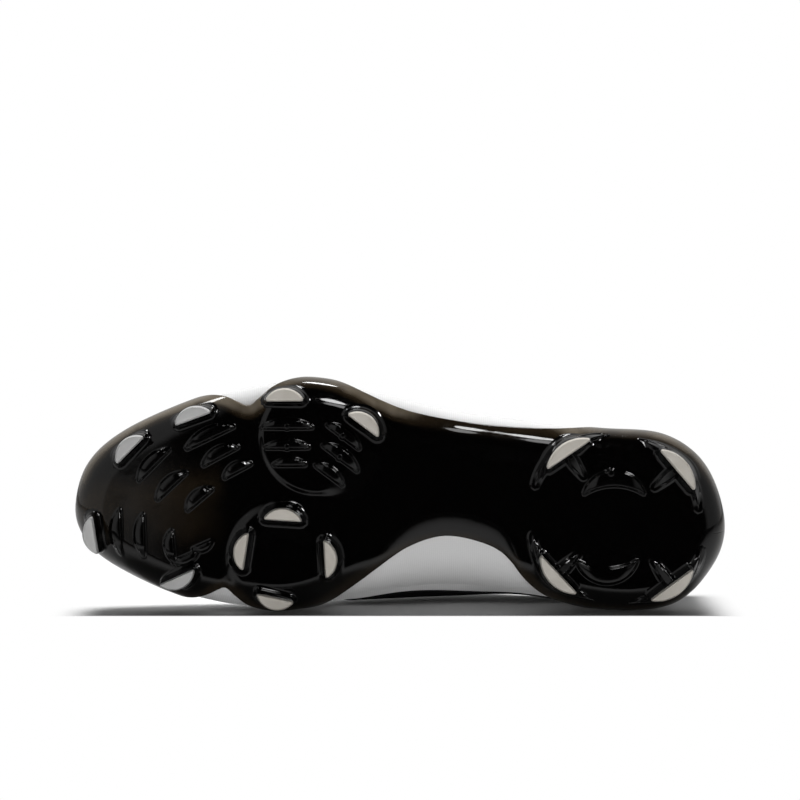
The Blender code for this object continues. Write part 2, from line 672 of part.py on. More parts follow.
def build_lace(material):
    """The lace's visible crossings, as flat bars that are joined where they cross and turn."""
    stations = eyelet_stations()
    ends = [(stations[-1], stations[-1])]
    for rear, front in zip(stations, stations[1:]):
        ends += [(rear, front), (front, rear)]
    bars = []
    for number, (medial_u, lateral_u) in enumerate(ends):
        points, faces = lace_run(medial_u, lateral_u, LACE_STACK * (number % 2))
        bars.append(flat_bar(f"bar_{number}", points, faces, material))
    unite(bars[0], bars[1:], "lace_bars")
    bars[0].name = "lace"
    return bars[0]


def flat_bar(name, points, faces, material):
    """A flat ribbon with a rectangular section along the points, its flat side to the faces."""
    bm = bmesh.new()
    loops = []
    for k, p in enumerate(points):
        ahead = points[min(k + 1, len(points) - 1)] - points[max(k - 1, 0)]
        side = ahead.cross(faces[k]).normalized() * (LACE_WIDTH / 2)
        up = side.cross(ahead).normalized() * (LACE_THICKNESS / 2)
        loops.append([bm.verts.new(p + side * a + up * b) for a, b in ((1, 1), (1, -1), (-1, -1), (-1, 1))])
    for low, high in zip(loops, loops[1:]):
        for k in range(4):
            m = (k + 1) % 4
            bm.faces.new((low[k], low[m], high[m], high[k]))
    bm.faces.new(loops[0])
    bm.faces.new(loops[-1])
    return finish_object(name, bm, material)


def solid_points(objects):
    """World points of the finished solids, with their modifiers, and the solids' common middle."""
    graph = bpy.context.evaluated_depsgraph_get()
    points, volume_sum, moment = [], 0.0, Vector()
    for made in objects:
        bm = bmesh.new()
        bm.from_object(made, graph)
        bm.transform(made.matrix_world)
        bmesh.ops.triangulate(bm, faces=bm.faces)
        for face in bm.faces:
            a, b, c = (v.co for v in face.verts)
            volume = a.dot(b.cross(c)) / 6
            volume_sum += volume
            moment += volume * (a + b + c) / 4
        points += [v.co.copy() for v in bm.verts]
        bm.free()
    return points, moment / volume_sum


def resting_turn(points, middle):
    """The turn that brings the face of the shoe's hull on which it rests down to the floor."""
    bm = bmesh.new()
    for p in points:
        bm.verts.new(p)
    bmesh.ops.convex_hull(bm, input=bm.verts, use_existing_faces=False)
    tree = BVHTree.FromBMesh(bm)
    bm.faces.ensure_lookup_table()
    bm.faces.index_update()
    down = Vector((0, 0, -1))
    for _ in range(40):
        index = tree.ray_cast(middle, down)[2]
        normal = bm.faces[index].normal.copy()
        if normal.dot(down) < 0:
            normal.negate()
        if (normal - down).length < 1e-6:
            break
        down = normal
    bm.free()
    return down.rotation_difference(Vector((0, 0, -1))).to_matrix().to_4x4()


def lay_on_side(objects):
    """Parents the shoe and its guides to one empty, and sets it down on its medial side."""
    root = bpy.data.objects.new("lying_shoe", None)
    bpy.context.scene.collection.objects.link(root)
    for made in list(bpy.data.objects):
        if made is not root:
            made.parent = root
    lying = Matrix(((-1, 0, 0, 0), (0, 0, 1, 0), (0, 1, 0, 0), (0, 0, 0, 1)))
    root.matrix_world = lying
    bpy.context.view_layer.update()
    points, middle = solid_points(objects)
    turn = resting_turn(points, middle)
    root.matrix_world = turn @ lying
    bpy.context.view_layer.update()
    points, _ = solid_points(objects)
    low = Vector(map(min, zip(*points)))
    high = Vector(map(max, zip(*points)))
    centre = (low + high) / 2
    root.matrix_world = Matrix.Translation((-centre.x, -centre.y, -low.z)) @ turn @ lying
    bpy.context.view_layer.update()
    return root


def main():
    clear_scene()
    black = plain_material("plate_black", BLACK, 0.12)
    grey = plain_material("stud_grey", STUD_GREY, 0.5)
    white = plain_material("textile_white", WHITE, 0.85)
    dark = plain_material("collar_black", COLLAR_BLACK, 0.8)
    outsole = build_plate(black)
    bm = bmesh.new()
    bm.from_mesh(outsole.data)
    plate_tree = BVHTree.FromBMesh(bm)
    bm.free()
    unite(outsole, build_lugs(plate_tree, black), "moulded_lugs")
    tips = [build_tip(*row, grey) for row in STUDS]
    upper = build_upper(white)
    punch_eyelets(upper)
    insole = build_insole(dark)
    tongue = build_tongue(dark)
    lace = build_lace(white)
    lay_on_side([outsole, *tips, upper, insole, tongue, lace])


main()
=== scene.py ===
"""The finished surfaces of a left baseball cleat that lies on its medial side, sole to the camera.

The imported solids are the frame. Every piece here is worked out again, more finely, from the same
last: X from heel to toe, Y towards the lateral side, Z up from the ground under the stud tips.
"""

import math

import bmesh
import bpy
import numpy as np
from mathutils import Matrix, Vector
from mathutils.bvhtree import BVHTree


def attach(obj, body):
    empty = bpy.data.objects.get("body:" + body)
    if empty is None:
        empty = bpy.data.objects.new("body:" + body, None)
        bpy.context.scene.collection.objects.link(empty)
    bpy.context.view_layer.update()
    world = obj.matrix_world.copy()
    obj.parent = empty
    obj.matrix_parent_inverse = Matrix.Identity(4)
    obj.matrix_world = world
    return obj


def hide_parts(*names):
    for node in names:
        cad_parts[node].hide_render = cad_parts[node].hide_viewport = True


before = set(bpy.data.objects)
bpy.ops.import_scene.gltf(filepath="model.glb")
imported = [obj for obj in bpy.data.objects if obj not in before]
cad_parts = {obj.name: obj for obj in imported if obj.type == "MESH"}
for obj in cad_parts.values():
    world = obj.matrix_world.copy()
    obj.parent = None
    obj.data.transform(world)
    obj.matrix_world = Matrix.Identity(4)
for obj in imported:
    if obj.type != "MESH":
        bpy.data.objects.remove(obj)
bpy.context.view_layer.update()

# The sizes that the solids were made with, in metres.
SHOE_LENGTH = 0.300
BALL_WIDTH = 0.108
COLLAR_HEIGHT = 0.072
TOE_SPRING = 0.010
ARCH_RISE = 0.005
STUD_HEIGHT = 0.0115
TIP_THICKNESS = 0.0024
PLATE_THICKNESS = 0.0026
PLATE_RIM_THICKNESS = 0.0014
POD_RADIUS = 0.0255
POD_RAISE = 0.0010
WALL = 0.0020
COLLAR_PADDING = 0.0035
OVERLAY_STEP = 0.0007
UNDERLAP = 0.010
INSOLE_THICKNESS = 0.0040
TONGUE_THICKNESS = 0.0050
TONGUE_FREE_LENGTH = 0.028
LACE_WIDTH = 0.0060
LACE_THICKNESS = 0.0014
FRONT_STUD_CHORD = 0.0160
HEEL_STUD_CHORD = 0.0225
STUD_DEPTH = 0.0050
TIP_DRAFT = 0.0005
BLUNT_END = 0.0013
RIB_HEIGHT = 0.0026
INSOLE_DRAW = 0.0030
SEAT_GAP = 0.0003
RIM_CLIMB = 0.32
LAST_HEIGHT = STUD_HEIGHT + PLATE_THICKNESS + SEAT_GAP
MM = 0.001

# Stations around the last, from the heel to the toe. Along and spine are shares of the shoe's
# length, top_height is a share of the collar's height, lift and drop are shares of the side's
# own height, panel is the share of the side where the overlay begins, and the rest are shares
# of the ball width. Run and rise are the rounded corner between bottom and side. Pad is 1 on
# the padded collar.
COLUMNS = (
    "spine", "along", "across", "run", "rise", "top_along", "top_across", "top_height",
    "belly", "lift", "reach", "drop", "panel", "pad",
)  # fmt: skip
HEEL_BACK = (0.120, 0.006, -0.014, 0.10, 0.14, 0.022, -0.009, 1.03, 0.022, 0.40, 0.000, 0.30, 0.66, 1)
TOE_TIP = (0.867, 0.994, 0.056, 0.12, 0.12, 0.690, 0.079, 0.715, 0.000, 0.64, 0.420, 0.35, 0.86, 0)
MEDIAL = (
    (0.147, 0.024, -0.195, 0.10, 0.14, 0.045, -0.165, 0.98, 0.016, 0.40, 0.008, 0.30, 0.66, 1),
    (0.180, 0.085, -0.352, 0.10, 0.13, 0.100, -0.318, 0.90, 0.006, 0.38, 0.020, 0.30, 0.66, 1),
    (0.247, 0.193, -0.370, 0.10, 0.13, 0.205, -0.352, 0.84, 0.004, 0.38, 0.024, 0.30, 0.60, 1),
    (0.333, 0.320, -0.312, 0.16, 0.20, 0.310, -0.305, 0.93, 0.030, 0.40, 0.050, 0.28, 0.28, 0.4),
    (0.427, 0.433, -0.288, 0.19, 0.23, 0.400, -0.150, 1.11, 0.130, 0.45, 0.165, 0.20, 0.10, 0),
    (0.527, 0.550, -0.318, 0.17, 0.20, 0.500, -0.093, 0.99, 0.105, 0.50, 0.190, 0.14, 0.12, 0),
    (0.627, 0.667, -0.370, 0.11, 0.13, 0.587, -0.060, 0.87, 0.006, 0.56, 0.190, 0.12, 0.54, 0),
    (0.707, 0.763, -0.358, 0.11, 0.12, 0.640, -0.028, 0.785, 0.002, 0.56, 0.230, 0.16, 0.72, 0),
    (0.773, 0.852, -0.292, 0.11, 0.12, 0.667, 0.009, 0.745, 0.000, 0.58, 0.300, 0.24, 0.82, 0),
    (0.820, 0.942, -0.170, 0.12, 0.12, 0.683, 0.046, 0.725, 0.000, 0.62, 0.370, 0.32, 0.85, 0),
    (0.850, 0.981, -0.068, 0.12, 0.12, 0.688, 0.065, 0.717, 0.000, 0.64, 0.410, 0.35, 0.86, 0),
)
LATERAL = (
    (0.147, 0.034, 0.217, 0.10, 0.14, 0.045, 0.139, 0.98, 0.020, 0.40, 0.008, 0.30, 0.66, 1),
    (0.180, 0.096, 0.343, 0.10, 0.13, 0.100, 0.268, 0.90, 0.012, 0.38, 0.020, 0.30, 0.66, 1),
    (0.247, 0.200, 0.371, 0.10, 0.13, 0.205, 0.312, 0.84, 0.012, 0.38, 0.028, 0.30, 0.60, 1),
    (0.333, 0.320, 0.421, 0.12, 0.14, 0.310, 0.300, 0.93, 0.006, 0.40, 0.075, 0.28, 0.36, 0.4),
    (0.427, 0.427, 0.466, 0.12, 0.14, 0.400, 0.213, 1.11, 0.002, 0.42, 0.150, 0.20, 0.20, 0),
    (0.527, 0.533, 0.537, 0.12, 0.13, 0.500, 0.204, 0.97, 0.000, 0.48, 0.190, 0.14, 0.26, 0),
    (0.627, 0.637, 0.590, 0.11, 0.12, 0.587, 0.199, 0.85, 0.000, 0.52, 0.220, 0.12, 0.56, 0),
    (0.707, 0.730, 0.560, 0.11, 0.12, 0.640, 0.181, 0.775, 0.000, 0.54, 0.250, 0.16, 0.72, 0),
    (0.773, 0.819, 0.493, 0.11, 0.12, 0.667, 0.148, 0.742, 0.000, 0.58, 0.310, 0.24, 0.82, 0),
    (0.820, 0.920, 0.366, 0.12, 0.12, 0.683, 0.116, 0.724, 0.000, 0.62, 0.370, 0.32, 0.85, 0),
    (0.850, 0.975, 0.231, 0.12, 0.12, 0.688, 0.093, 0.717, 0.000, 0.64, 0.410, 0.35, 0.86, 0),
)
# Sections modelled from each station up to the next one, from the heel to the toe.
RIBS_PER_SEGMENT = (2, 3, 3, 4, 3, 3, 4, 4, 4, 3, 2, 2)
LAST_ROWS = np.array((HEEL_BACK, *MEDIAL, TOE_TIP, *reversed(LATERAL)))
AROUND = len(LAST_ROWS)
TOE_ROW = AROUND // 2

# The plate's outline from below, as shares of the shoe's length and the ball width, running
# from the heel's back along the medial side to the toe and back along the lateral side.
PLATE_OUTLINE = (
    (0.000, -0.019), (0.007, -0.124), (0.028, -0.250), (0.071, -0.352), (0.136, -0.394),
    (0.193, -0.387), (0.243, -0.354), (0.280, -0.309), (0.309, -0.237), (0.337, -0.156),
    (0.377, -0.104), (0.430, -0.078), (0.477, -0.111), (0.527, -0.179), (0.577, -0.276),
    (0.623, -0.362), (0.674, -0.394), (0.725, -0.362), (0.748, -0.311), (0.765, -0.271),
    (0.782, -0.294), (0.799, -0.327), (0.823, -0.335), (0.868, -0.295), (0.931, -0.211),
    (0.968, -0.139), (0.990, -0.060), (1.000, 0.051), (0.993, 0.167), (0.974, 0.268),
    (0.936, 0.361), (0.890, 0.437), (0.844, 0.488), (0.798, 0.526), (0.767, 0.521),
    (0.743, 0.491), (0.729, 0.475), (0.715, 0.500), (0.690, 0.563), (0.661, 0.598),
    (0.630, 0.606), (0.592, 0.585), (0.546, 0.522), (0.500, 0.463), (0.454, 0.429),
    (0.383, 0.396), (0.317, 0.381), (0.253, 0.377), (0.167, 0.392), (0.104, 0.369),
    (0.060, 0.309), (0.022, 0.205), (0.004, 0.093),
)  # fmt: skip

# Studs: name, centre of the tip's straight side as shares of length and ball width, the way
# that its round side faces, in degrees from the toe towards the lateral side, and whether it
# is one of the long heel studs.
STUDS = (
    ("toe_lateral_rear", 0.812, 0.435, 70, False),
    ("toe_lateral_front", 0.908, 0.302, 45, False),
    ("toe_front", 0.963, -0.057, -9, False),
    ("toe_medial", 0.837, -0.235, -114, False),
    ("ball_lateral_front", 0.673, 0.510, 90, False),
    ("ball_lateral_rear", 0.554, 0.403, 127, False),
    ("pivot_lateral", 0.676, 0.008, 94, False),
    ("pivot_front", 0.733, -0.125, 9, False),
    ("pivot_rear", 0.612, -0.158, 177, False),
    ("pivot_medial", 0.688, -0.322, -78, False),
    ("heel_lateral_front", 0.243, 0.280, 56, True),
    ("heel_lateral_rear", 0.079, 0.212, 140, True),
    ("heel_medial_front", 0.259, -0.226, -43, True),
    ("heel_medial_rear", 0.088, -0.270, -126, True),
)

# Low ribs: centre of the straight side, chord and depth as shares of the ball width, and facing.
RIBS = (
    (0.670, 0.392, 0.215, 0.036, 90),
    (0.670, 0.308, 0.185, 0.032, 90),
    (0.666, 0.235, 0.135, 0.028, 90),
    (0.585, 0.352, 0.170, 0.036, 127),
    (0.590, 0.262, 0.185, 0.040, 127),
    (0.607, 0.190, 0.145, 0.034, 127),
    (0.787, 0.350, 0.225, 0.042, 65),
    (0.771, 0.272, 0.170, 0.040, 62),
    (0.745, 0.210, 0.130, 0.036, 62),
    (0.873, 0.235, 0.190, 0.040, 45),
    (0.846, 0.145, 0.170, 0.040, 47),
    (0.803, 0.088, 0.140, 0.040, 50),
    (0.925, -0.048, 0.190, 0.040, -2),
    (0.889, -0.062, 0.180, 0.038, -2),
    (0.844, -0.105, 0.130, 0.036, -5),
)
# The two bows under the heel, by the same measures.
BOW_RISE = 0.0105 / BALL_WIDTH
HEEL_BOWS = (
    (0.173, 0.108, 0.255, BOW_RISE, 90),
    (0.184, -0.170, 0.255, BOW_RISE, -90),
)
PODS = (("lateral", 0.624, 0.352), ("pivot", 0.674, -0.152))

# Eyelets of each eyestay: their number, first and last stations, and their place up the side.
EYELET_COUNT = 6
EYELET_FIRST = 5.15
EYELET_LAST = 7.60
EYELET_SHARE = 2.90

# Finer details, in metres unless the name says otherwise.
FINE = 8
PLATE_COLUMNS = 88
PLATE_INNER_COLUMNS = 14
MARGIN_COLUMNS = 3
CORNER_COLUMNS = 11
QUARTER_COLUMNS = 22
OVERLAY_COLUMNS = 18
LIP_COLUMNS = 7
LIP_IN_OVERLAY = 5
LINING_COLUMNS = 16
# Shares of the side's height just below and above the overlay's step.
SEAM_BELOW, SEAM_STEP, SEAM_ABOVE = 0.004, 0.003, 0.012
TONGUE_SIDE_COLUMNS = 6
TONGUE_CROWN_COLUMNS = 20
CAP_COLUMNS = 7
FILLET_STEPS = 6
FILLET_TURN = 75
LEVEL_GROUND = 0.62
RIM_STEPS = 5
WELD = 1e-6
SUNK = 0.06 * MM
EDGE_DRAW = 2.0 * MM
LATERAL_EDGE = (7.0 * MM, 1.5)
MEDIAL_EDGE = (12.0 * MM, 2.2)
GROOVE_DEPTH = 0.20 * MM
MOAT_DEPTH = 0.03 * MM
LIP_HEIGHT = 0.07 * MM
DISH_RADIUS = 14.0 * MM
DISH_DEPTH = 0.22 * MM
TIP_BLUNT = 0.6 * MM
LUG_BLUNT = 0.5 * MM
SHOULDER = 0.2 * MM
# Reach of the fillet at a lug's foot, and the flare of its wall.
STUD_FOOT = (2.0 * MM, 1.4 * MM)
FOOT_FILLET = (1.4 * MM, 0.9 * MM)
RIB_FILLET = (0.9 * MM, 0.5 * MM)
FOOT_RUN = 9.5 * MM
FOOT_BOW = 9.5 * MM
FOOT_WIDTH = 3.6 * MM
FOOT_BLUNT = 0.9 * MM
FOOT_PROUD = 0.3 * MM
GUSSET_RUN = 13.0 * MM
GUSSET_WIDTH = 2.3 * MM
# Heights as a share of the stud's body with the power that they fall off by, then the least
# height of feet and gussets and the rounding of their crests.
STUD_BODY = STUD_HEIGHT - TIP_THICKNESS
FOOT_TALL = (0.85, 1.3)
GUSSET_TALL = (0.82, 1.7)
LUG_LEAST = 0.4 * MM
LUG_SOFT = 0.6 * MM
BOW_HOLLOW = 4.0 * MM
CAP_BEVEL = 0.5 * MM
LACE_STACK = 0.5 * MM
LACE_CLEAR = 1.5 * MM
# Points along the lace's run that narrow at each end, and how narrow the end is.
LACE_TAPER, LACE_NARROW = 9, 0.55
# The instep's rise over its width, then the tongue's first station, neck and lean.
INSTEP_CROWN = 0.13
TONGUE_FIRST = 5.0
TONGUE_NECK = 0.84
TONGUE_LEAN = (-0.74, 0.0, 0.67)

# Small ribs beside the toe's medial stud, with their own heights, and the nubs on the lateral
# pod's ribs and beside the heel's upper bow: along and across as shares, then the nub's radius.
SMALL_RIBS = (
    (0.826, -0.150, 0.120, 0.030, -114, 0.0016),
    (0.800, -0.100, 0.090, 0.026, -114, 0.0012),
)
NUBS = (
    (0.670, 0.400, 0.0013),
    (0.670, 0.315, 0.0013),
    (0.585, 0.360, 0.0013),
    (0.590, 0.270, 0.0013),
    (0.178, 0.196, 0.0016),
)
# Eyelet rings and the stitches beside the overlay's seam.
EYELET_RING = (3.1 * MM, 0.55 * MM)
STITCH_PITCH = 3.4 * MM
STITCH_LENGTH = 2.4 * MM
STITCH_SIZE = (0.32 * MM, 0.26 * MM)
STITCH_INSET = 2.4 * MM
STITCH_LOWEST = 14.0 * MM

# The parting line at the heel, and how far and how strongly the plate's rim shows its taupe:
# everywhere for the thin plastic, and more on the lateral side, at its heel and in front, as
# painted light on the side that lies uppermost.
PARTING_HEIGHT = 37.5 * MM
PARTING_START = 143.0 * MM
PARTING_HALF_WIDTHS = (0.08 * MM, 0.40 * MM)
THIN_BAND = 6.5 * MM
THIN_AND_LIT_WEIGHTS = (0.32, 0.08, 0.38, 0.56)
STUD_THIN_AND_LIT = 0.12
RIB_THIN_AND_LIT = 0.25

# Colours, as linear red, green and blue.
BLACK_DEEP = (0.0011, 0.0010, 0.0010, 1)
# The brown also tints the painted reflection across the toe.
BROWN_THIN_AND_REFLECTED = (0.020, 0.014, 0.008, 1)
TAUPE_RIM = (0.150, 0.125, 0.092, 1)
WHITE_KNIT = (0.73, 0.73, 0.73, 1)
# The knit's grey in its grooves is painted shade.
WHITE_GROOVE_SHADOW = (0.68, 0.68, 0.68, 1)
# The tips' tones, the cooler ones on the toe's studs, beyond a share of the shoe's length.
WARM_TONES = ((0.56, 0.53, 0.48, 1), (0.48, 0.45, 0.40, 1))
COOL_TONES = ((0.50, 0.50, 0.495, 1), (0.45, 0.45, 0.445, 1))
COOL_FROM = 0.78
RIB_PITCH = 1.0 * MM
FIBRE_SCALE = 1700.0
# Fabrics: colour, painted shade between the threads, pitch, fuzz, roughness and sheen.
OVERLAY_LOOK = ((0.009, 0.009, 0.010, 1), (0.003, 0.003, 0.003, 1), 0.9 * MM, 0.2, 0.75, 0.0)
LINING_LOOK = ((0.022, 0.022, 0.024, 1), (0.006, 0.006, 0.007, 1), 1.3 * MM, 0.3, 0.9, 0.2)
LINER_LOOK = ((0.032, 0.032, 0.035, 1), (0.010, 0.010, 0.011, 1), 0.7 * MM, 0.3, 0.95, 0.25)
THREAD_LOOK = ((0.050, 0.050, 0.053, 1), (0.018, 0.018, 0.019, 1), 0.5 * MM, 0.2, 0.7, 0.15)
LACE_LOOK = ((0.80, 0.80, 0.79, 1), (0.52, 0.52, 0.51, 1), 0.9 * MM, 0.2, 0.8, 0.25)

# The studio: brightness of its room for matt surfaces, and of its walls in the gloss.
ROOM_LOW, ROOM_HIGH = 0.06, 1.0
ROOM_AHEAD, ROOM_AHEAD_HIGH = 0.10, 0.04
WALL_LEFT, WALL_RIGHT, WALL_BEHIND = 0.30, 0.20, 0.40
FLOOR_IN_GLOSS = 0.35
# Where the floor brightens in the gloss, and the ways in the room where its parts meet.
FLOOR_DIMS = (-0.45, -0.08)
AHEAD_FADE, REAR_FADE, TURN_FADE = (0.25, 0.60), (0.2, 0.9), (0.05, 0.45)
LEFT_FADE, RIGHT_FADE, BEHIND_FADE = (-0.46, -0.22), (0.45, 0.80), (0.15, 0.90)
FLOOR_TONES = ((0.73, 0.73, 0.73, 1), (0.75, 0.75, 0.75, 1))
FLOOR_SHADE_X = 135 * MM
FLOOR_SHADE_FRONT = -47 * MM
FLOOR_SHADE_BACK = (80 * MM, 200 * MM)
# Lights: name, place, target, size, power, on matt surfaces, in the gloss.
LIGHTS = (
    ("rear_overhead", (0.0, 0.36, 0.90), (0.0, 0.0, 0.0), (0.60, 0.40), 12.5, True, False),
    ("front_fill", (0.0, -1.30, 0.050), (0.0, 0.0, 0.055), (1.20, 0.08), 6.6, True, False),
    ("pod_gloss", (0.05, 0.44, 0.98), (-0.04, -0.03, 0.10), (0.24, 0.10), 1.00, False, True),
    ("toe_gloss", (-0.48, 0.23, 0.98), (-0.09, -0.03, 0.10), (0.30, 0.14), 1.10, False, True),
    ("waist_gloss", (0.055, -0.27, 0.47), (0.055, -0.04, 0.08), (0.075, 0.09), 0.20, False, True),
    ("waist_gloss_low", (0.06, -0.36, 0.39), (0.05, -0.04, 0.08), (0.09, 0.11), 0.08, False, True),
    ("upper_right", (0.55, -0.50, 0.75), (0.0, -0.05, 0.05), (0.22, 0.22), 3.4, False, True),
)
CAMERA_DISTANCE = 1.50
CAMERA_ELEVATION = 4.5
CAMERA_AIM = (0.0003, -0.05, 0.0990)
LENS = 148.8


def smoothstep(x):
    x = np.clip(x, 0.0, 1.0)
    return x * x * (3 - 2 * x)


def between(a, b, c, d, f):
    """The point at share f of the way from b to c on a smooth curve through all four."""
    square = 2 * a - 5 * b + 4 * c - d
    cube = 3 * b - a - 3 * c + d
    return 0.5 * (2 * b + (c - a) * f + square * f**2 + cube * f**3)


def curve_through(rows, u):
    """A smooth closed curve through the rows, at the float row numbers u."""
    u = np.atleast_1d(np.asarray(u, float))
    start = np.floor(u).astype(int)
    f = (u - start)[:, None]
    a, b, c, d = (rows[(start + k) % len(rows)] for k in (-1, 0, 1, 2))
    return between(a, b, c, d, f)


def station(u):
    """The last's measures at the float station numbers u, in metres, by column name."""
    raw = curve_through(LAST_ROWS, u)
    lengthwise = ("spine", "along", "top_along")
    plain = ("lift", "drop", "panel", "pad")
    scale = {name: BALL_WIDTH for name in COLUMNS}
    scale.update({name: SHOE_LENGTH for name in lengthwise})
    scale.update({name: 1.0 for name in plain})
    scale["top_height"] = COLLAR_HEIGHT
    return {name: raw[:, k] * scale[name] for k, name in enumerate(COLUMNS)}


def bottom_height(x):
    """Height of the last's bottom above the ground: flat heel, low arch, sprung toe."""
    share = np.asarray(x) / SHOE_LENGTH
    arch = ARCH_RISE * np.exp(-(((share - 0.42) / 0.11) ** 2))
    spring = TOE_SPRING * np.clip((share - 0.66) / 0.34, 0.0, None) ** 2
    return LAST_HEIGHT + arch + spring


def last_point(u, g):
    """A point on the last: g runs to 1 over the flat bottom, 2 round the corner, 3 up the side."""
    here, across_from = station(u), station(AROUND - np.asarray(u))
    edge = np.stack([here["along"], here["across"]], 1)
    spine = np.stack([here["spine"], (here["across"] + across_from["across"]) / 2], 1)
    width = np.linalg.norm(edge - spine, axis=1)
    outward = (edge - spine) / width[:, None]
    turn = np.clip(g - 1, 0, 1) * math.pi / 2
    reach = (width - here["run"]) * np.clip(g, 0, 1) + here["run"] * np.sin(turn)
    plan = spine + outward * reach[:, None]
    bottom = np.column_stack([plan, bottom_height(plan[:, 0]) + here["rise"] * (1 - np.cos(turn))])
    start = np.column_stack([edge, bottom_height(edge[:, 0]) + here["rise"]])
    top = np.stack([here["top_along"], here["top_across"], LAST_HEIGHT + here["top_height"]], 1)
    side_height = (top[:, 2] - start[:, 2])[:, None]
    up = np.array([0.0, 0.0, 1.0])
    out = np.column_stack([outward, np.zeros(len(outward))])
    low = start + up * here["lift"][:, None] * side_height + out * here["belly"][:, None]
    high = top - up * here["drop"][:, None] * side_height + out * here["reach"][:, None]
    t = np.clip(g - 2, 0, 1)[:, None]
    side = (1 - t) ** 3 * start + 3 * t * (1 - t) ** 2 * low
    side = side + 3 * t**2 * (1 - t) * high + t**3 * top
    return np.where((g > 2)[:, None], side, bottom)


def last_offset(u, g, offset):
    """Points at a distance outside the last, or inside it where the offset is negative."""
    u, g, offset = (np.asarray(a, float) for a in np.broadcast_arrays(np.atleast_1d(u), g, offset))
    point = last_point(u, g)
    step = 0.004
    along = last_point(u + step, np.maximum(g, 1)) - last_point(u - step, np.maximum(g, 1))
    outwards = last_point(u, np.minimum(g + step, 3)) - last_point(u, np.maximum(g - step, 1))
    normal = np.cross(along, outwards)
    slope = (bottom_height(point[:, 0] + 1e-4) - bottom_height(point[:, 0] - 1e-4)) / 2e-4
    down = np.column_stack([slope, np.zeros(len(g)), -np.ones(len(g))])
    normal = np.where((g > 1)[:, None], normal, down)
    normal /= np.linalg.norm(normal, axis=1)[:, None]
    return point + normal * offset[:, None]


def travelled(points):
    """How far each point lies along the line through the points."""
    return np.concatenate([[0], np.cumsum(np.linalg.norm(np.diff(points, axis=0), axis=1))])


def rolled_edge(high, low, ahead, reach, count):
    """A round edge from high to low that bulges ahead; reach is in degrees off its middle."""
    middle, across = (high + low) / 2, (high - low) / 2
    ahead = ahead * (np.linalg.norm(across) / max(np.linalg.norm(ahead), 1e-9))
    angles = np.radians(np.linspace(reach, -reach, count))[:, None]
    return middle + across * np.sin(angles) + ahead * np.cos(angles)


def half_width(u):
    """From the spine to the edge of the last's bottom at station u."""
    here, across_from = station([u]), station([AROUND - u])
    return np.hypot(
        here["along"][0] - here["spine"][0],
        (here["across"][0] - across_from["across"][0]) / 2,
    )


def place_grid(bm, points, uvs=None, slots=None):
    """A grid of faces laid over the points, with its UV map and each column's material slot."""
    rows, columns = points.shape[:2]
    made = bmesh.ops.create_grid(bm, x_segments=columns - 1, y_segments=rows - 1, size=0.5)["verts"]
    spots = {}
    for v in made:
        spots[v] = (round((v.co.y + 0.5) * (rows - 1)), round((v.co.x + 0.5) * (columns - 1)))
    for v, (row, column) in spots.items():
        v.co = points[row, column]
    layer = bm.loops.layers.uv.verify()
    for face in {f for v in made for f in v.link_faces}:
        if slots is not None:
            face.material_index = int(slots[min(spots[v][1] for v in face.verts)])
        if uvs is not None:
            for loop in face.loops:
                loop[layer].uv = uvs[spots[loop.vert]]
    return made


def add_object(name, data):
    made = bpy.data.objects.new(name, data)
    bpy.context.scene.collection.objects.link(made)
    return made


def finish_piece(name, bm, materials, replaced=(), sharp=40):
    """The bmesh as a piece laid down where the solids are, with its normals out."""
    bmesh.ops.remove_doubles(bm, verts=bm.verts, dist=WELD)
    bmesh.ops.dissolve_degenerate(bm, edges=bm.edges, dist=WELD)
    for v in bm.verts:
        v.co = LYING @ v.co
    bmesh.ops.recalc_face_normals(bm, faces=bm.faces)
    mesh = bpy.data.meshes.new(name)
    bm.to_mesh(mesh)
    bm.free()
    for material in materials:
        mesh.materials.append(material)
    mesh.shade_smooth()
    if sharp:
        mesh.set_sharp_from_angle(angle=math.radians(sharp))
    made = add_object(name, mesh)
    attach(made, "root")
    if replaced:
        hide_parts(*replaced)
    return made


def crescent(chord, depth, hollow, blunt, steps):
    """A crescent's outline with small round ends: x towards the round side, y along the chord.

    Depth is its whole reach on the round side, and the inner side bulges the same way by hollow."""
    y = chord / 2 * np.sin(np.linspace(-1, 1, steps + 1) * math.pi / 2)
    half = chord / 2
    sides = []
    for bulge in (hollow, depth - blunt):
        radius = (half * half + bulge * bulge) / (2 * bulge) if bulge > 1e-6 else 1e3
        sides.append(np.sqrt(radius * radius - y * y) - math.sqrt(radius * radius - half * half))
    corner = blunt / 2
    past = np.clip(np.abs(y) - (half - corner), 0, corner)
    rounding = corner - np.sqrt(corner * corner - past * past)
    inner = sides[0] + rounding
    outer = sides[1] + blunt - rounding
    near = np.column_stack([inner, y])
    far = np.column_stack([outer, y])
    return np.concatenate([near, far[-2:0:-1]])


def teardrop(length, wide, narrow, steps):
    """An outline that starts wide at the origin and runs to a narrow round end at -x."""
    angle = np.linspace(0, math.pi, steps + 1)
    share = (1 - np.cos(angle)) / 2
    half = np.sin(angle) ** 0.6 * (wide + (narrow - wide) * share)
    near = np.column_stack([-share * length, half])
    return np.concatenate([near, (near * (1, -1))[-2:0:-1]])


def turned(ring, along, across, facing):
    """A ring of local points set at its place under the sole."""
    angle = math.radians(facing)
    turn = np.array([[math.cos(angle), math.sin(angle)], [-math.sin(angle), math.cos(angle)]])
    return ring @ turn + (along * SHOE_LENGTH, across * BALL_WIDTH)


def ring_normals(ring):
    """Outward directions in plan at each point of a ring, whichever way it runs round."""
    ahead = np.roll(ring, -1, 0) - np.roll(ring, 1, 0)
    normal = np.column_stack([ahead[:, 1], -ahead[:, 0]])
    normal /= np.linalg.norm(normal, axis=1)[:, None]
    x, y = ring[:, 0], ring[:, 1]
    area = (x * np.roll(y, -1) - np.roll(x, -1) * y).sum()
    return normal if area > 0 else -normal


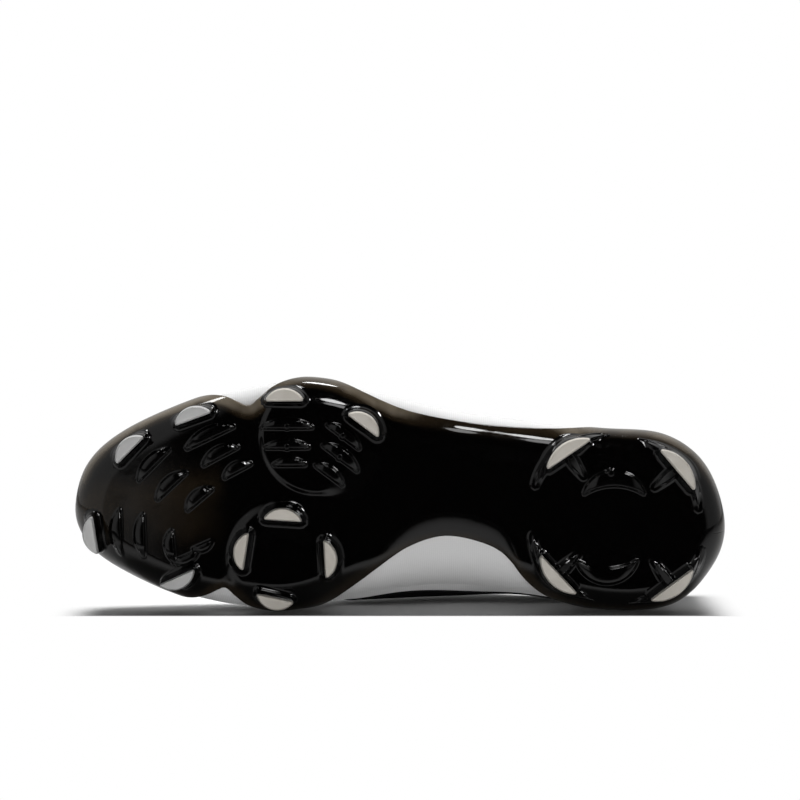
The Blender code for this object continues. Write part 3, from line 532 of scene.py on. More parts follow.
def level_under(tree, p):
    """Height and steepness of the sole's surface at a plan point, or None beside the sole."""
    hit, normal = tree.ray_cast(Vector((p[0], p[1], -1.0)), Vector((0, 0, 1)))[:2]
    return (hit.z, abs(normal.z)) if hit else (None, 0)


def levels_under(tree, ring):
    """The sole's height at each point of a ring, or its flat bottom's beside it."""
    return np.array([level_under(tree, p)[0] or LAST_HEIGHT - PLATE_THICKNESS for p in ring])


def eased(values, rounds):
    """Values round a ring, smoothed."""
    for _ in range(rounds):
        values = (np.roll(values, 1) + 2 * values + np.roll(values, -1)) / 4
    return values


def cap_points(ring):
    """A grid of points that closes a ring, from its near side straight across to its far side."""
    half = len(ring) // 2
    near, far = ring[: half + 1], np.concatenate([ring[:1], ring[:half - 1:-1]])
    across = np.linspace(0, 1, CAP_COLUMNS)[None, :, None]
    return near[:, None] * (1 - across) + far[:, None] * across


def raise_lug(bm, tree, ring, crest, foot, rim, crown=0.0):
    """A lug moulded on the sole: a fillet at its foot, a wall and a rounded crest over the ring.

    crest is the height of the crest above the ground at each point of the ring, foot is the
    fillet's reach and rise with the wall's flare, and rim is the rounding at the crest."""
    fillet, flare = foot
    normal = ring_normals(ring)
    base = levels_under(tree, ring)
    widest = fillet + flare
    room = np.ones(len(ring))
    for k, (p, n) in enumerate(zip(ring, normal)):
        for share in np.arange(1.0, -0.01, -0.1):
            level, steep = level_under(tree, p + n * widest * share)
            if level is not None and steep > LEVEL_GROUND and level < base[k] + widest:
                break
        room[k] = max(share, 0.0)
    room = eased(np.minimum(room, eased(room, 6)), 4)
    levels = [(widest, -SUNK, True)]
    for angle in np.radians(np.linspace(0, FILLET_TURN, FILLET_STEPS)):
        out, up = 1 - math.sin(angle), 1 - math.cos(angle)
        levels.append((flare + fillet * out, fillet * up, True))
    levels.append((flare * 0.8, fillet * 1.1, True))
    levels.append((flare * 0.12, rim * 1.6, False))
    for angle in np.radians(np.linspace(0, 90, RIM_STEPS)):
        levels.append((-rim * (1 - math.cos(angle)), rim * (1 - math.sin(angle)), False))
    rows = []
    for grow, rise, from_sole in levels:
        row = []
        for k, (p, n) in enumerate(zip(ring, normal)):
            q = p + n * grow * (room[k] if grow > 0 else 1)
            level = level_under(tree, q)[0]
            level = base[k] if level is None else level
            tall = max(level - crest[k], 0.0) * 0.5
            z = level - min(rise, tall) if from_sole else crest[k] + min(rise, tall)
            row.append((q[0], q[1], z))
        rows.append(row)
    rows = np.array(rows)
    place_grid(bm, np.concatenate([rows, rows[:, :1]], 1))
    cap = cap_points(rows[-1])
    lengthwise, across = (np.sin(np.linspace(0, math.pi, count)) for count in cap.shape[:2])
    cap[:, :, 2] -= crown * across[None, :] * lengthwise[:, None]
    place_grid(bm, cap)


def frame_turn():
    """The turn and shift that lay the upright shoe down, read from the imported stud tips."""
    upright, lying = [], []
    for name, along, across, facing, is_heel in STUDS:
        bm = bmesh.new()
        bm.from_mesh(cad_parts["tip_" + name].data)
        bmesh.ops.remove_doubles(bm, verts=bm.verts, dist=WELD)
        lying.append(np.mean([v.co for v in bm.verts], 0))
        bm.free()
        ring = tip_outline(stud_chord(is_heel))
        middle = turned(ring, along, across, facing).mean(0)
        upright.append((*middle, tip_height(along) + TIP_THICKNESS / 2))
    upright, lying = np.array(upright), np.array(lying)
    a, b = upright - upright.mean(0), lying - lying.mean(0)
    left, _, right = np.linalg.svd(a.T @ b)
    keep = np.diag([1, 1, np.sign(np.linalg.det(left @ right))])
    turn = (left @ keep @ right).T
    shift = lying.mean(0) - turn @ upright.mean(0)
    return Matrix.Translation(shift) @ Matrix(turn.tolist()).to_4x4()


def tip_outline(chord):
    """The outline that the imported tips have, for finding where they lie."""
    bow = STUD_DEPTH - BLUNT_END
    radius = (chord * chord / 4 + bow * bow) / (2 * bow)
    y = np.linspace(-chord / 2, chord / 2, 6)
    arc = np.sqrt(radius * radius - y * y) - (radius - bow)
    grow = TIP_DRAFT / 2
    stretched = y * (1 + 2 * grow / chord)
    near = np.column_stack([np.full(6, -grow), stretched])
    far = np.column_stack([arc + BLUNT_END + grow, stretched])
    return np.concatenate([near, far])


def tip_height(along):
    """Height of a stud's tip face above the ground: it follows the toe's spring."""
    return float(bottom_height(along * SHOE_LENGTH)) - LAST_HEIGHT


def outline_points():
    fine = np.arange(0, len(PLATE_OUTLINE), 0.1)
    return curve_through(np.array(PLATE_OUTLINE), fine) * (SHOE_LENGTH, BALL_WIDTH)


def plate_trim(u, outline):
    """Where the plate ends on the section at station u, by its outline from below."""
    here, across_from = station([u]), station([AROUND - u])
    edge = np.array([here["along"][0], here["across"][0]])
    spine = np.array([here["spine"][0], (here["across"][0] + across_from["across"][0]) / 2])
    width = np.linalg.norm(edge - spine)
    d = (edge - spine) / width
    a, b = outline - spine, np.roll(outline, -1, 0) - spine
    e = b - a
    det = d[0] * -e[:, 1] + d[1] * e[:, 0]
    far = (a[:, 0] * -e[:, 1] + a[:, 1] * e[:, 0]) / det
    on = (d[0] * a[:, 1] - d[1] * a[:, 0]) / det
    hit = far[(on >= 0) & (on <= 1) & (far > 0)].min()
    flat = width - here["run"][0]
    hit -= PLATE_THICKNESS / 2 * (1 - smoothstep((hit - flat) / (0.3 * here["run"][0])))
    if hit < flat:
        return hit / flat
    corner = (hit - flat) / (here["run"][0] + SEAT_GAP + PLATE_RIM_THICKNESS)
    return 1 + math.asin(min(1.0, corner)) * 2 / math.pi


def fine_stations(fine):
    """Station numbers from the heel's back to the toe's tip, several to each of the solids'."""
    found = [k + j / (n * fine) for k, n in enumerate(RIBS_PER_SEGMENT) for j in range(n * fine)]
    return np.array([*found, float(TOE_ROW)])


def plate_ends(half, fine):
    """The plate's trim on every fine section, eased so that its rim climbs the corner gradually."""
    outline = outline_points()
    around = np.concatenate([half, (AROUND - half[1:-1])[::-1]])
    ends = np.array([plate_trim(u, outline) for u in around])
    for _ in range(4 * fine):
        ends = np.minimum(ends, np.minimum(np.roll(ends, 1), np.roll(ends, -1)) + RIM_CLIMB / fine)
    ends = eased(ends, fine)
    return {round(u, 4): end for u, end in zip(around, ends)}


def section_shares(u, ends, columns):
    """Evenly spaced places along a section, from the spine to the plate's end there."""
    here = station([u])
    flat = half_width(u) - here["run"][0]
    corner = (here["run"][0] + here["rise"][0]) * math.pi / 4
    end = ends[round(u % AROUND, 4)]
    reach = flat * min(end, 1) + corner * max(end - 1, 0)
    s = np.linspace(0, reach, columns)
    return np.where(s < flat, s / flat, 1 + (s - flat) / corner), reach - s


def plate_inside(g):
    return SEAT_GAP * (1 + smoothstep((g - 0.6) / 0.6))


def plate_outside(g):
    thinned = smoothstep(g - 1) * (PLATE_THICKNESS - PLATE_RIM_THICKNESS)
    return plate_inside(g) + PLATE_THICKNESS - thinned


def ridge(distance, width):
    """A rounded ridge's height, 1 on its crest."""
    return np.exp(-((distance / width) ** 2))


def falling(distance, start, width):
    """1 up to the start, then down to 0 over the width."""
    return 1 - smoothstep((distance - start) / width)


def pod_relief(x, y):
    """How far the round pods, the lateral one's flex groove and the pivot's dish stand off."""
    relief = np.zeros_like(x)
    for name, along, across in PODS:
        dx, dy = x - along * SHOE_LENGTH, y - across * BALL_WIDTH
        r = np.hypot(dx, dy)
        if name == "pivot":
            raised = falling(r, POD_RADIUS - 3.0 * MM, 4.5 * MM)
            dish = falling(r, DISH_RADIUS - 7.0 * MM, 10.0 * MM)
            moat = MOAT_DEPTH * ridge(r - POD_RADIUS - 2.2 * MM, 1.4 * MM)
            relief += POD_RAISE * raised - DISH_DEPTH * dish - moat
            continue
        # It runs out into the waist on its heel side and into the rim on its lateral side.
        shown = smoothstep(((0.9 * dx - 0.35 * dy) / np.maximum(r, MM) + 0.15) / 0.5)
        more = 13.0 * MM * (1 - shown)
        raised = falling(r, POD_RADIUS - 0.7 * MM - 0.5 * more, 1.4 * MM + more)
        lip = LIP_HEIGHT * ridge(r - POD_RADIUS + 1.0 * MM, 0.4 * MM)
        groove = GROOVE_DEPTH * ridge(r - POD_RADIUS - 1.7 * MM, 1.0 * MM)
        relief += POD_RAISE * raised + shown * (lip - groove)
    return relief


def build_plate(ends, half):
    """The moulded plate: its outer face with the pods, a rounded rim and its inner face."""
    rows = []
    for u in half:
        parts = []
        for side, (run, bend) in ((AROUND - u, LATERAL_EDGE), (u, MEDIAL_EDGE)):
            end = ends[round(side % AROUND, 4)]
            g, to_edge = section_shares(side, ends, PLATE_COLUMNS)
            base = last_point(np.full(len(g), side), g)
            relief = pod_relief(base[:, 0], base[:, 1]) * falling(g, 0.95, 0.35)
            # Where the edge is cut from the flat bottom, as at the waist, it is drawn down thin.
            flat_cut = falling(end, 0.9, 0.35)
            drawn = EDGE_DRAW * flat_cut * (1 - np.clip(to_edge / run, 0, 1)) ** bend
            outer = last_offset(side, g, plate_outside(g) + relief - drawn)
            g_in = section_shares(side, ends, PLATE_INNER_COLUMNS)[0]
            inner = last_offset(side, g_in, plate_inside(g_in))
            ahead = last_offset(side, end + 0.01, plate_inside(end))[0] - inner[-1]
            parts.append((outer, rolled_edge(outer[-1], inner[-1], ahead, 65, 6), inner))
        lateral, medial = parts
        rows.append(np.concatenate([
            lateral[0][::-1], medial[0][1:], medial[1],
            medial[2][::-1], lateral[2][1:], lateral[1][::-1], lateral[0][-1:],
        ]))
    bm = bmesh.new()
    place_grid(bm, np.array(rows))
    return bm


def sole_tree(bm):
    """What the lugs stand on: the plate in its upright place."""
    bmesh.ops.remove_doubles(bm, verts=bm.verts, dist=WELD)
    bmesh.ops.recalc_face_normals(bm, faces=bm.faces)
    return BVHTree.FromBMesh(bm)


def stud_chord(is_heel):
    return HEEL_STUD_CHORD if is_heel else FRONT_STUD_CHORD


def stud_crest(along):
    return tip_height(along) + TIP_THICKNESS + SEAT_GAP / 2


def build_studs(tree):
    """The black bodies of the studs, with the long feet and the gusset of the heel studs."""
    bm = bmesh.new()
    for name, along, across, facing, is_heel in STUDS:
        outline = crescent(stud_chord(is_heel), STUD_DEPTH, 0, TIP_BLUNT, 30)
        ring = turned(outline, along, across, facing)
        ring = ring + ring_normals(ring) * (TIP_DRAFT + SHOULDER)
        crest = np.full(len(ring), stud_crest(along))
        raise_lug(bm, tree, ring, crest, STUD_FOOT, 0.35 * MM)
        if is_heel:
            heel_foot(bm, tree, along, across, facing)
            gusset(bm, tree, along, across, facing)
    return bm


def slope_down(tree, ring, tall):
    """Crest heights of a ridge whose height above the sole is given at each point of its ring."""
    return levels_under(tree, ring) - tall


def heel_foot(bm, tree, along, across, facing):
    """The curved foot that runs on past both ends of a heel stud and slopes down to the plate."""
    chord = HEEL_STUD_CHORD + 2 * FOOT_RUN
    outline = crescent(chord, FOOT_BOW, FOOT_BOW - FOOT_WIDTH, FOOT_BLUNT, 40)
    outline[:, 0] += STUD_DEPTH - FOOT_BOW + FOOT_PROUD
    level = HEEL_STUD_CHORD * 0.40
    beyond = np.clip((np.abs(outline[:, 1]) - level) / (FOOT_RUN * 1.2), 0, 1)
    ring = turned(outline, along, across, facing)
    share, fall = FOOT_TALL
    tall = STUD_BODY * share * (1 - smoothstep(beyond)) ** fall + LUG_LEAST
    raise_lug(bm, tree, ring, slope_down(tree, ring, tall), FOOT_FILLET, LUG_SOFT)


def gusset(bm, tree, along, across, facing):
    """The buttress that runs inwards from the middle of a heel stud's straight side."""
    outline = teardrop(GUSSET_RUN, GUSSET_WIDTH, GUSSET_WIDTH * 0.3, 22)
    inwards = -outline[:, 0] / GUSSET_RUN
    ring = turned(outline, along, across, facing)
    share, fall = GUSSET_TALL
    tall = STUD_BODY * share * (1 - inwards) ** fall + LUG_LEAST
    raise_lug(bm, tree, ring, slope_down(tree, ring, tall), FOOT_FILLET, LUG_SOFT)


def build_ribs(tree):
    """The low crescent ribs between the studs, and the two bows under the heel."""
    bm = bmesh.new()
    shapes = [(*rib, RIB_HEIGHT, 0, 26) for rib in RIBS]
    shapes += [(*bow, RIB_HEIGHT, BOW_HOLLOW, 36) for bow in HEEL_BOWS]
    shapes += [(*rib, 0, 20) for rib in SMALL_RIBS]
    for along, across, chord, depth, facing, height, hollow, steps in shapes:
        outline = crescent(chord * BALL_WIDTH, depth * BALL_WIDTH, hollow, LUG_BLUNT, steps)
        low_rib(bm, tree, turned(outline, along, across, facing), height)
    for along, across, radius in NUBS:
        angles = np.arange(16) / 16 * 2 * math.pi
        circle = np.column_stack([np.cos(angles), np.sin(angles)]) * radius
        low_rib(bm, tree, turned(circle, along, across, 0), RIB_HEIGHT + 0.3 * MM)
    return bm


def low_rib(bm, tree, ring, height):
    """A rib that is highest in its middle and fades into the sole at its ends."""
    ends = np.linalg.norm(ring - ring.mean(0), axis=1)
    lower = 0.65 * smoothstep((ends / ends.max() - 0.5) / 0.5) * (ends.max() > 3 * MM)
    crest = slope_down(tree, ring, height * (1 - lower))
    raise_lug(bm, tree, ring, crest, RIB_FILLET, 0.4 * MM, crown=0.12 * MM)


def build_cap(name, along, across, facing, is_heel, material):
    """One pale tip, a rounded prism on its stud."""
    outline = crescent(stud_chord(is_heel), STUD_DEPTH, 0, TIP_BLUNT, 34)
    outline = turned(outline, along, across, facing)
    normal = ring_normals(outline)
    foot = tip_height(along)
    rows = []
    levels = [(TIP_DRAFT, TIP_THICKNESS), (TIP_DRAFT * 0.7, TIP_THICKNESS * 0.6)]
    for angle in np.radians(np.linspace(0, 90, 5)):
        levels.append((-CAP_BEVEL * (1 - math.cos(angle)), CAP_BEVEL * (1 - math.sin(angle))))
    for grow, rise in levels:
        ring = outline + normal * grow
        rows.append(np.column_stack([ring, np.full(len(ring), foot + rise)]))
    rows = np.array(rows)
    bm = bmesh.new()
    place_grid(bm, np.concatenate([rows, rows[:, :1]], 1))
    for edge in (rows[0], rows[-1]):
        place_grid(bm, cap_points(edge))
    node = "tip_" + name
    return finish_piece("stud_cap_" + name, bm, [material], [node])


def build_upper(materials, half):
    """The textile upper as one wall: outer face with its overlay, rolled edge and lining."""
    whole = np.concatenate([half, (AROUND - half[1:-1])[::-1], [AROUND]])
    edge = last_point(whole, np.full(len(whole), 2.0))
    round_edge = travelled(edge)
    rows, uvs = [], []
    for number, u in enumerate(whole):
        here = station([u])
        margin = 1 - UNDERLAP / (half_width(u) - here["run"][0])
        pad = COLLAR_PADDING * max(here["pad"][0], 0)
        lip = (WALL + pad) / 2
        side_height = LAST_HEIGHT + here["top_height"][0] - edge[number][2]
        top = 3 - lip / side_height
        seam = 2 + here["panel"][0]
        g = np.concatenate([
            np.linspace(margin, 1, MARGIN_COLUMNS, endpoint=False),
            np.linspace(1, 2, CORNER_COLUMNS, endpoint=False),
            np.linspace(2, seam - SEAM_BELOW, QUARTER_COLUMNS),
            [seam + SEAM_STEP], np.linspace(seam + SEAM_ABOVE, top, OVERLAY_COLUMNS),
        ])
        raised = np.where(g > seam, OVERLAY_STEP, 0.0)
        outer = last_offset(u, g, raised)
        g_in = np.concatenate([np.linspace(top, 2, LINING_COLUMNS), [1.5, 1.0, margin]])
        padded = pad * smoothstep((g_in - 2.55) / 0.3)
        inner = last_offset(u, g_in, -(WALL + padded))
        rolled = rolled_edge(outer[-1], inner[0], outer[-1] - outer[-2], 70, LIP_COLUMNS)
        row = np.concatenate([outer, rolled, inner, outer[:1]])
        rows.append(row)
        uvs.append(np.column_stack([np.full(len(row), round_edge[number]), travelled(row)]))
    seam_column = MARGIN_COLUMNS + CORNER_COLUMNS + QUARTER_COLUMNS
    slots = np.zeros(len(rows[0]), int)
    slots[seam_column - 1:] = 1
    slots[seam_column + 1 + OVERLAY_COLUMNS + LIP_IN_OVERLAY:] = 2
    bm = bmesh.new()
    place_grid(bm, np.array(rows), np.array(uvs), slots)
    return finish_piece("upper_shell", bm, materials, ["upper"], sharp=50)


def closed_pad(bm, outer, inner):
    """A closed form between two sheets of equal rows, rounded at its two long sides."""
    rows = []
    for high, low in zip(outer, inner):
        sides = []
        for edge, neighbour, floor in ((high[-1], high[-2], low[-1]), (low[0], low[1], high[0])):
            sides.append(rolled_edge(edge, floor, edge - neighbour, 60, 5))
        rows.append(np.concatenate([high, sides[0], low[::-1], sides[1], high[:1]]))
    place_grid(bm, np.array(rows))
    for high, low in ((outer[0], inner[0]), (outer[-1], inner[-1])):
        across = np.linspace(0, 1, 4)[:, None, None]
        place_grid(bm, high[None] * (1 - across) + low[None] * across)


def tongue_section(u, depth):
    """One section across the tongue, under the eyestays and over the crown between them."""
    count = TONGUE_SIDE_COLUMNS
    sides = []
    for side in (u, AROUND - u):
        seam = 2 + station([side])["panel"][0]
        low = (seam + 0.015 + 3) / 2
        sides.append(last_offset(side, np.linspace(low, 3, count), -depth))
    medial, lateral = sides
    left, right = medial[-1], lateral[-1]
    crown = INSTEP_CROWN * np.linalg.norm(left - right)
    s = np.linspace(0, 1, TONGUE_CROWN_COLUMNS)[1:-1, None]
    bridge = left + (right - left) * s + np.array([0, 0, crown]) * 4 * s * (1 - s)
    return np.concatenate([medial, bridge, lateral[::-1]])


def build_tongue(materials, half):
    """The padded tongue, fullest along the middle of its crown, with a rounded free end."""
    stations = [u for u in half if u >= TONGUE_FIRST][::2]
    sheets = []
    for depth in (WALL + SEAT_GAP, WALL + SEAT_GAP + TONGUE_THICKNESS):
        rows = [tongue_section(u, depth) for u in stations]
        middle = rows[0].mean(0)
        first = middle + (rows[0] - middle) * (1, TONGUE_NECK, 1)
        rows[0] = first
        free = []
        for share in np.linspace(1.0, 0.04, 16):
            wider = 0.14 * smoothstep((0.25 - share) / 0.25)
            width = 0.70 + wider - 0.16 * smoothstep((share - 0.7) / 0.3)
            along = np.array(TONGUE_LEAN) * TONGUE_FREE_LENGTH * share
            free.append(middle + (first - middle) * (1, width, 1) + along)
        sheets.append(np.array(free + rows))
    outer, inner = sheets
    s = np.linspace(-1, 1, outer.shape[1])
    fullness = np.sqrt(np.clip(1 - np.abs(s) ** 3.0, 0, 1))[None, :, None]
    thin = outer + (inner - outer) * (0.5 - 0.5 * fullness)
    inner = outer + (inner - outer) * (0.5 + 0.5 * fullness)
    bm = bmesh.new()
    closed_pad(bm, thin, inner)
    made = finish_piece("tongue_pad", bm, materials, ["tongue"], sharp=60)
    return made


def insole_below(g):
    return -(WALL + 3 * SEAT_GAP + INSOLE_DRAW * np.clip(g - 1, 0, None))


def insole_above(g):
    return insole_below(g) - INSOLE_THICKNESS * (1 - 0.5 * smoothstep(g - 1))


def build_insole(materials, half):
    """The sock liner: a foam bed with a fabric face that turns up at the shoe's side."""
    shares = np.concatenate([np.linspace(0, 1, 16), np.linspace(1, 1.5, 8)[1:]])
    outer, inner = [], []
    for u in half[::2]:
        for sheet, depth in ((outer, insole_above(shares)), (inner, insole_below(shares))):
            lateral = last_offset(AROUND - u, shares, depth)
            medial = last_offset(u, shares, depth)
            sheet.append(np.concatenate([lateral[::-1], medial[1:]]))
    bm = bmesh.new()
    closed_pad(bm, np.array(outer), np.array(inner))
    return finish_piece("sock_liner", bm, materials, ["insole"], sharp=50)


def eyelet_stations():
    return np.linspace(EYELET_FIRST, EYELET_LAST, EYELET_COUNT)


def wall_frame(side, share, depth):
    """A point off the upper's wall with the direction out of it."""
    low, high = (Vector(last_offset(side, share, d)[0]) for d in (depth, depth + MM))
    return low, (high - low).normalized()


def lace_route(medial_u, lateral_u, lift):
    """Points and facings of one crossing: out of one eyelet, across and down into the other."""
    points, faces = [], []
    skin = OVERLAY_STEP + LACE_THICKNESS / 2 + SEAT_GAP
    for side, order in ((medial_u, 1), (AROUND - lateral_u, -1)):
        hole = [
            wall_frame(side, EYELET_SHARE - 0.012, -WALL - 1.2 * MM),
            wall_frame(side, EYELET_SHARE - 0.004, skin * 0.2),
            wall_frame(side, EYELET_SHARE + 0.030, skin + lift),
            wall_frame(side, 2.985, skin + 0.5 * MM + lift),
        ]
        for point, face in hole[::order]:
            points.append(point)
            faces.append(face)
    span = points[4] - points[3]
    for number, share in enumerate((0.25, 0.5, 0.75)):
        rise = 4 * share * (1 - share) * (INSTEP_CROWN * span.length + LACE_CLEAR)
        points.insert(4 + number, points[3] + span * share + Vector((0, 0, rise + lift)))
        faces.insert(4 + number, Vector((0, 0, 1)))
    return points, faces


def build_lace(materials):
    """The flat woven lace: one ribbon to each crossing, its ends inside the eyelets."""
    stations = eyelet_stations()
    ends = [(stations[-1], stations[-1])]
    for rear, front in zip(stations, stations[1:]):
        ends += [(rear, front), (front, rear)]
    bm = bmesh.new()
    run = 0.0
    for number, (medial_u, lateral_u) in enumerate(ends):
        points, faces = lace_route(medial_u, lateral_u, LACE_STACK * (number % 2))
        run = ribbon(bm, points, faces, run)
    return finish_piece("woven_lace", bm, materials, ["lace"], sharp=60)


def smooth_chain(points, steps):
    """A smooth open curve through the points."""
    rows = np.array([tuple(p) for p in points])
    rows = np.concatenate([2 * rows[:1] - rows[1:2], rows, 2 * rows[-1:] - rows[-2:-1]])
    u = np.linspace(1, len(rows) - 2, (len(rows) - 3) * steps + 1)
    start = np.minimum(np.floor(u).astype(int), len(rows) - 3)
    f = (u - start)[:, None]
    a, b, c, d = (rows[start + k] for k in (-1, 0, 1, 2))
    return between(a, b, c, d, f)


def ribbon(bm, points, faces, run):
    """A flat ribbon with rounded edges along the points, its UV map running on from run."""
    line = smooth_chain(points, 8)
    out = smooth_chain(faces, 8)
    ahead = np.gradient(line, axis=0)
    side = np.cross(ahead, out)
    side /= np.linalg.norm(side, axis=1)[:, None]
    up = np.cross(side, ahead)
    up /= np.linalg.norm(up, axis=1)[:, None]
    angles = np.linspace(0, 2 * math.pi, 17)
    wide = np.sign(np.cos(angles)) * np.abs(np.cos(angles)) ** 0.5 * LACE_WIDTH / 2
    thick = np.sign(np.sin(angles)) * np.abs(np.sin(angles)) ** 0.8 * LACE_THICKNESS / 2
    narrow = np.ones(len(line))
    narrow[:LACE_TAPER] = np.linspace(LACE_NARROW, 1, LACE_TAPER)
    narrow[-LACE_TAPER:] = np.linspace(1, LACE_NARROW, LACE_TAPER)
    sideways = side[:, None] * (wide[None, :, None] * narrow[:, None, None])
    rows = line[:, None] + sideways + up[:, None] * thick[None, :, None]
    travel = run + travelled(line)
    uvs = np.stack(np.broadcast_arrays(wide[None, :] + LACE_WIDTH, travel[:, None]), 2)
    place_grid(bm, rows, uvs)
    for end in (rows[0], rows[-1]):
        half = len(end) // 2
        near, far = end[: half + 1], end[:half - 1:-1]
        place_grid(bm, np.stack([near, far], 1))
    return travel[-1]


def build_eyelets(material):
    """A sewn ring round each eyelet of the two eyestays."""
    wide, thick = EYELET_RING
    bm = bmesh.new()
    for number in eyelet_stations():
        for side in (number, AROUND - number):
            centre, out = wall_frame(side, EYELET_SHARE, OVERLAY_STEP)
            across = out.orthogonal().normalized()
            place = Matrix((across, out, across.cross(out))).transposed().to_4x4()
            place.translation = centre + across * wide
            cord = bmesh.ops.create_circle(bm, segments=10, radius=thick, matrix=place)["verts"]
            edges = list({edge for vert in cord for edge in vert.link_edges})
            bmesh.ops.spin(
                bm, geom=cord + edges, cent=centre, axis=out,
                angle=2 * math.pi, steps=28, use_merge=True,
            )
    return finish_piece("eyelet_rings", bm, [material], sharp=60)


def build_stitches(material):
    """One row of stitches in the overlay, beside its seam."""
    line, outwards = [], []
    for u in np.linspace(0, AROUND, 700):
        seam = 2 + station([u])["panel"][0]
        near, far = (Vector(last_offset(u, seam + more, OVERLAY_STEP)[0]) for more in (0, 0.05))
        share = min(seam + 0.05 * STITCH_INSET / (far - near).length, 2.97)
        point, out = wall_frame(u, share, OVERLAY_STEP)
        line.append(point)
        outwards.append(out)
    line, outwards = np.array(line), np.array(outwards)
    travel = travelled(line)
    wide, thick = STITCH_SIZE
    bm = bmesh.new()
    for start in np.arange(0, travel[-1] - STITCH_PITCH, STITCH_PITCH):
        first, last, out = (
            Vector([np.interp(at, travel, rows[:, k]) for k in range(3)])
            for at, rows in ((start, line), (start + STITCH_LENGTH, line), (start, outwards))
        )
        centre, ahead = (first + last) / 2, (last - first) / 2
        if (LYING @ centre).z < STITCH_LOWEST:
            continue
        side = out.cross(ahead).normalized()
        out = ahead.cross(side).normalized()
        place = Matrix((side * wide, out * thick, ahead)).transposed().to_4x4()
        place.translation = centre
        bmesh.ops.create_uvsphere(bm, u_segments=8, v_segments=6, radius=1, matrix=place)
    return finish_piece("overlay_stitches", bm, [material], sharp=60)


def new_material(name):
    material = bpy.data.materials.new(name)
    material.use_nodes = True
    return material, material.node_tree, material.node_tree.nodes["Principled BSDF"]


def feed(tree, socket, value):
    """Links a socket to the input, or sets the input's own value."""
    if isinstance(value, bpy.types.NodeSocket):
        tree.links.new(value, socket)
    else:
        socket.default_value = value


def add_node(tree, kind, **values):
    """A shader node whose sockets or settings take the values, by name."""
    made = tree.nodes.new("ShaderNode" + kind)
    for name, value in values.items():
        label = name.replace("_", " ").title()
        if label in made.inputs:
            feed(tree, made.inputs[label], value)
        else:
            setattr(made, name, value)
    return made


def mixed(tree, share, first, second):
    """A colour between two, each a colour or a socket."""
    made = tree.nodes.new("ShaderNodeMix")
    made.data_type = "RGBA"
    for number, value in ((0, share), (6, first), (7, second)):
        feed(tree, made.inputs[number], value)
    return made.outputs[2]


def computed(tree, operation, *values):
    made = tree.nodes.new("ShaderNodeMath")
    made.operation = operation
    for socket, value in zip(made.inputs, values):
        feed(tree, socket, value)
    return made.outputs[0]


def ranged(tree, value, low, high, to_low=0.0, to_high=1.0):
    """The value's place between low and high, eased and carried to another range."""
    made = tree.nodes.new("ShaderNodeMapRange")
    made.interpolation_type = "SMOOTHSTEP"
    feed(tree, made.inputs["Value"], value)
    limits = {"From Min": low, "From Max": high, "To Min": to_low, "To Max": to_high}
    for name, number in limits.items():
        feed(tree, made.inputs[name], number)
    return made.outputs["Result"]


def own_place(tree):
    """The place of a point in its own object."""
    return add_node(tree, "TexCoord").outputs["Object"]


def noise(tree, place, scale, detail, distortion=0.0):
    values = {"scale": scale, "detail": detail, "distortion": distortion}
    return add_node(tree, "TexNoise", vector=place, **values).outputs["Fac"]


def waves(tree, value, pitch):
    """A sine wave from 0 to 1 along a value, one to each pitch."""
    turns = computed(tree, "MULTIPLY", computed(tree, "DIVIDE", value, pitch), 2 * math.pi)
    return computed(tree, "MULTIPLY_ADD", computed(tree, "SINE", turns), 0.5, 0.5)


def new_group(name, sizes, output):
    """An empty node group that takes a place and named sizes, and puts out one value."""
    group = bpy.data.node_groups.new(name, "ShaderNodeTree")
    group.interface.new_socket("Vector", in_out="INPUT", socket_type="NodeSocketVector")
    for label in sizes:
        group.interface.new_socket(label, in_out="INPUT", socket_type="NodeSocketFloat")
    group.interface.new_socket(output, in_out="OUTPUT", socket_type="NodeSocketFloat")
    given = group.nodes.new("NodeGroupInput").outputs
    return group, given, group.nodes.new("NodeGroupOutput").inputs[output]


def weave_group():
    """Crossed threads of a plain weave, with a fuzz of loose fibre over them."""
    group, given, height = new_group("crossed_threads", ("Pitch", "Fuzz"), "Height")
    split = add_node(group, "SeparateXYZ", vector=given["Vector"])
    steep = computed(group, "MULTIPLY", split.outputs["Z"], 1.4)
    across = computed(group, "ADD", split.outputs["X"], split.outputs["Y"])
    level = computed(group, "SUBTRACT", split.outputs["X"], split.outputs["Y"])
    along = computed(group, "ADD", level, steep)
    threads = computed(
        group, "MULTIPLY", waves(group, across, given["Pitch"]), waves(group, along, given["Pitch"])
    )
    fibre = noise(group, given["Vector"], FIBRE_SCALE, 3.0)
    total = computed(group, "MULTIPLY_ADD", fibre, given["Fuzz"], threads)
    group.links.new(total, height)
    return group


def grain_group():
    """The fine uneven skin of moulded plastic: broad ripples with a dry grain over them."""
    group, given, height = new_group("moulded_skin", ("Ripple", "Grain", "Fineness"), "Height")
    broad = noise(group, given["Vector"], 85.0, 2.0)
    fine = noise(group, given["Vector"], given["Fineness"], 2.0)
    rippled = computed(group, "MULTIPLY", broad, given["Ripple"])
    group.links.new(computed(group, "MULTIPLY_ADD", fine, given["Grain"], rippled), height)
    return group


def dress(tree, shader, looks):
    for name, value in looks.items():
        feed(tree, shader.inputs[name], value)


def raise_surface(tree, shader, height, strength, distance):
    bump = add_node(tree, "Bump", strength=strength, distance=distance, height=height)
    tree.links.new(bump.outputs["Normal"], shader.inputs["Normal"])


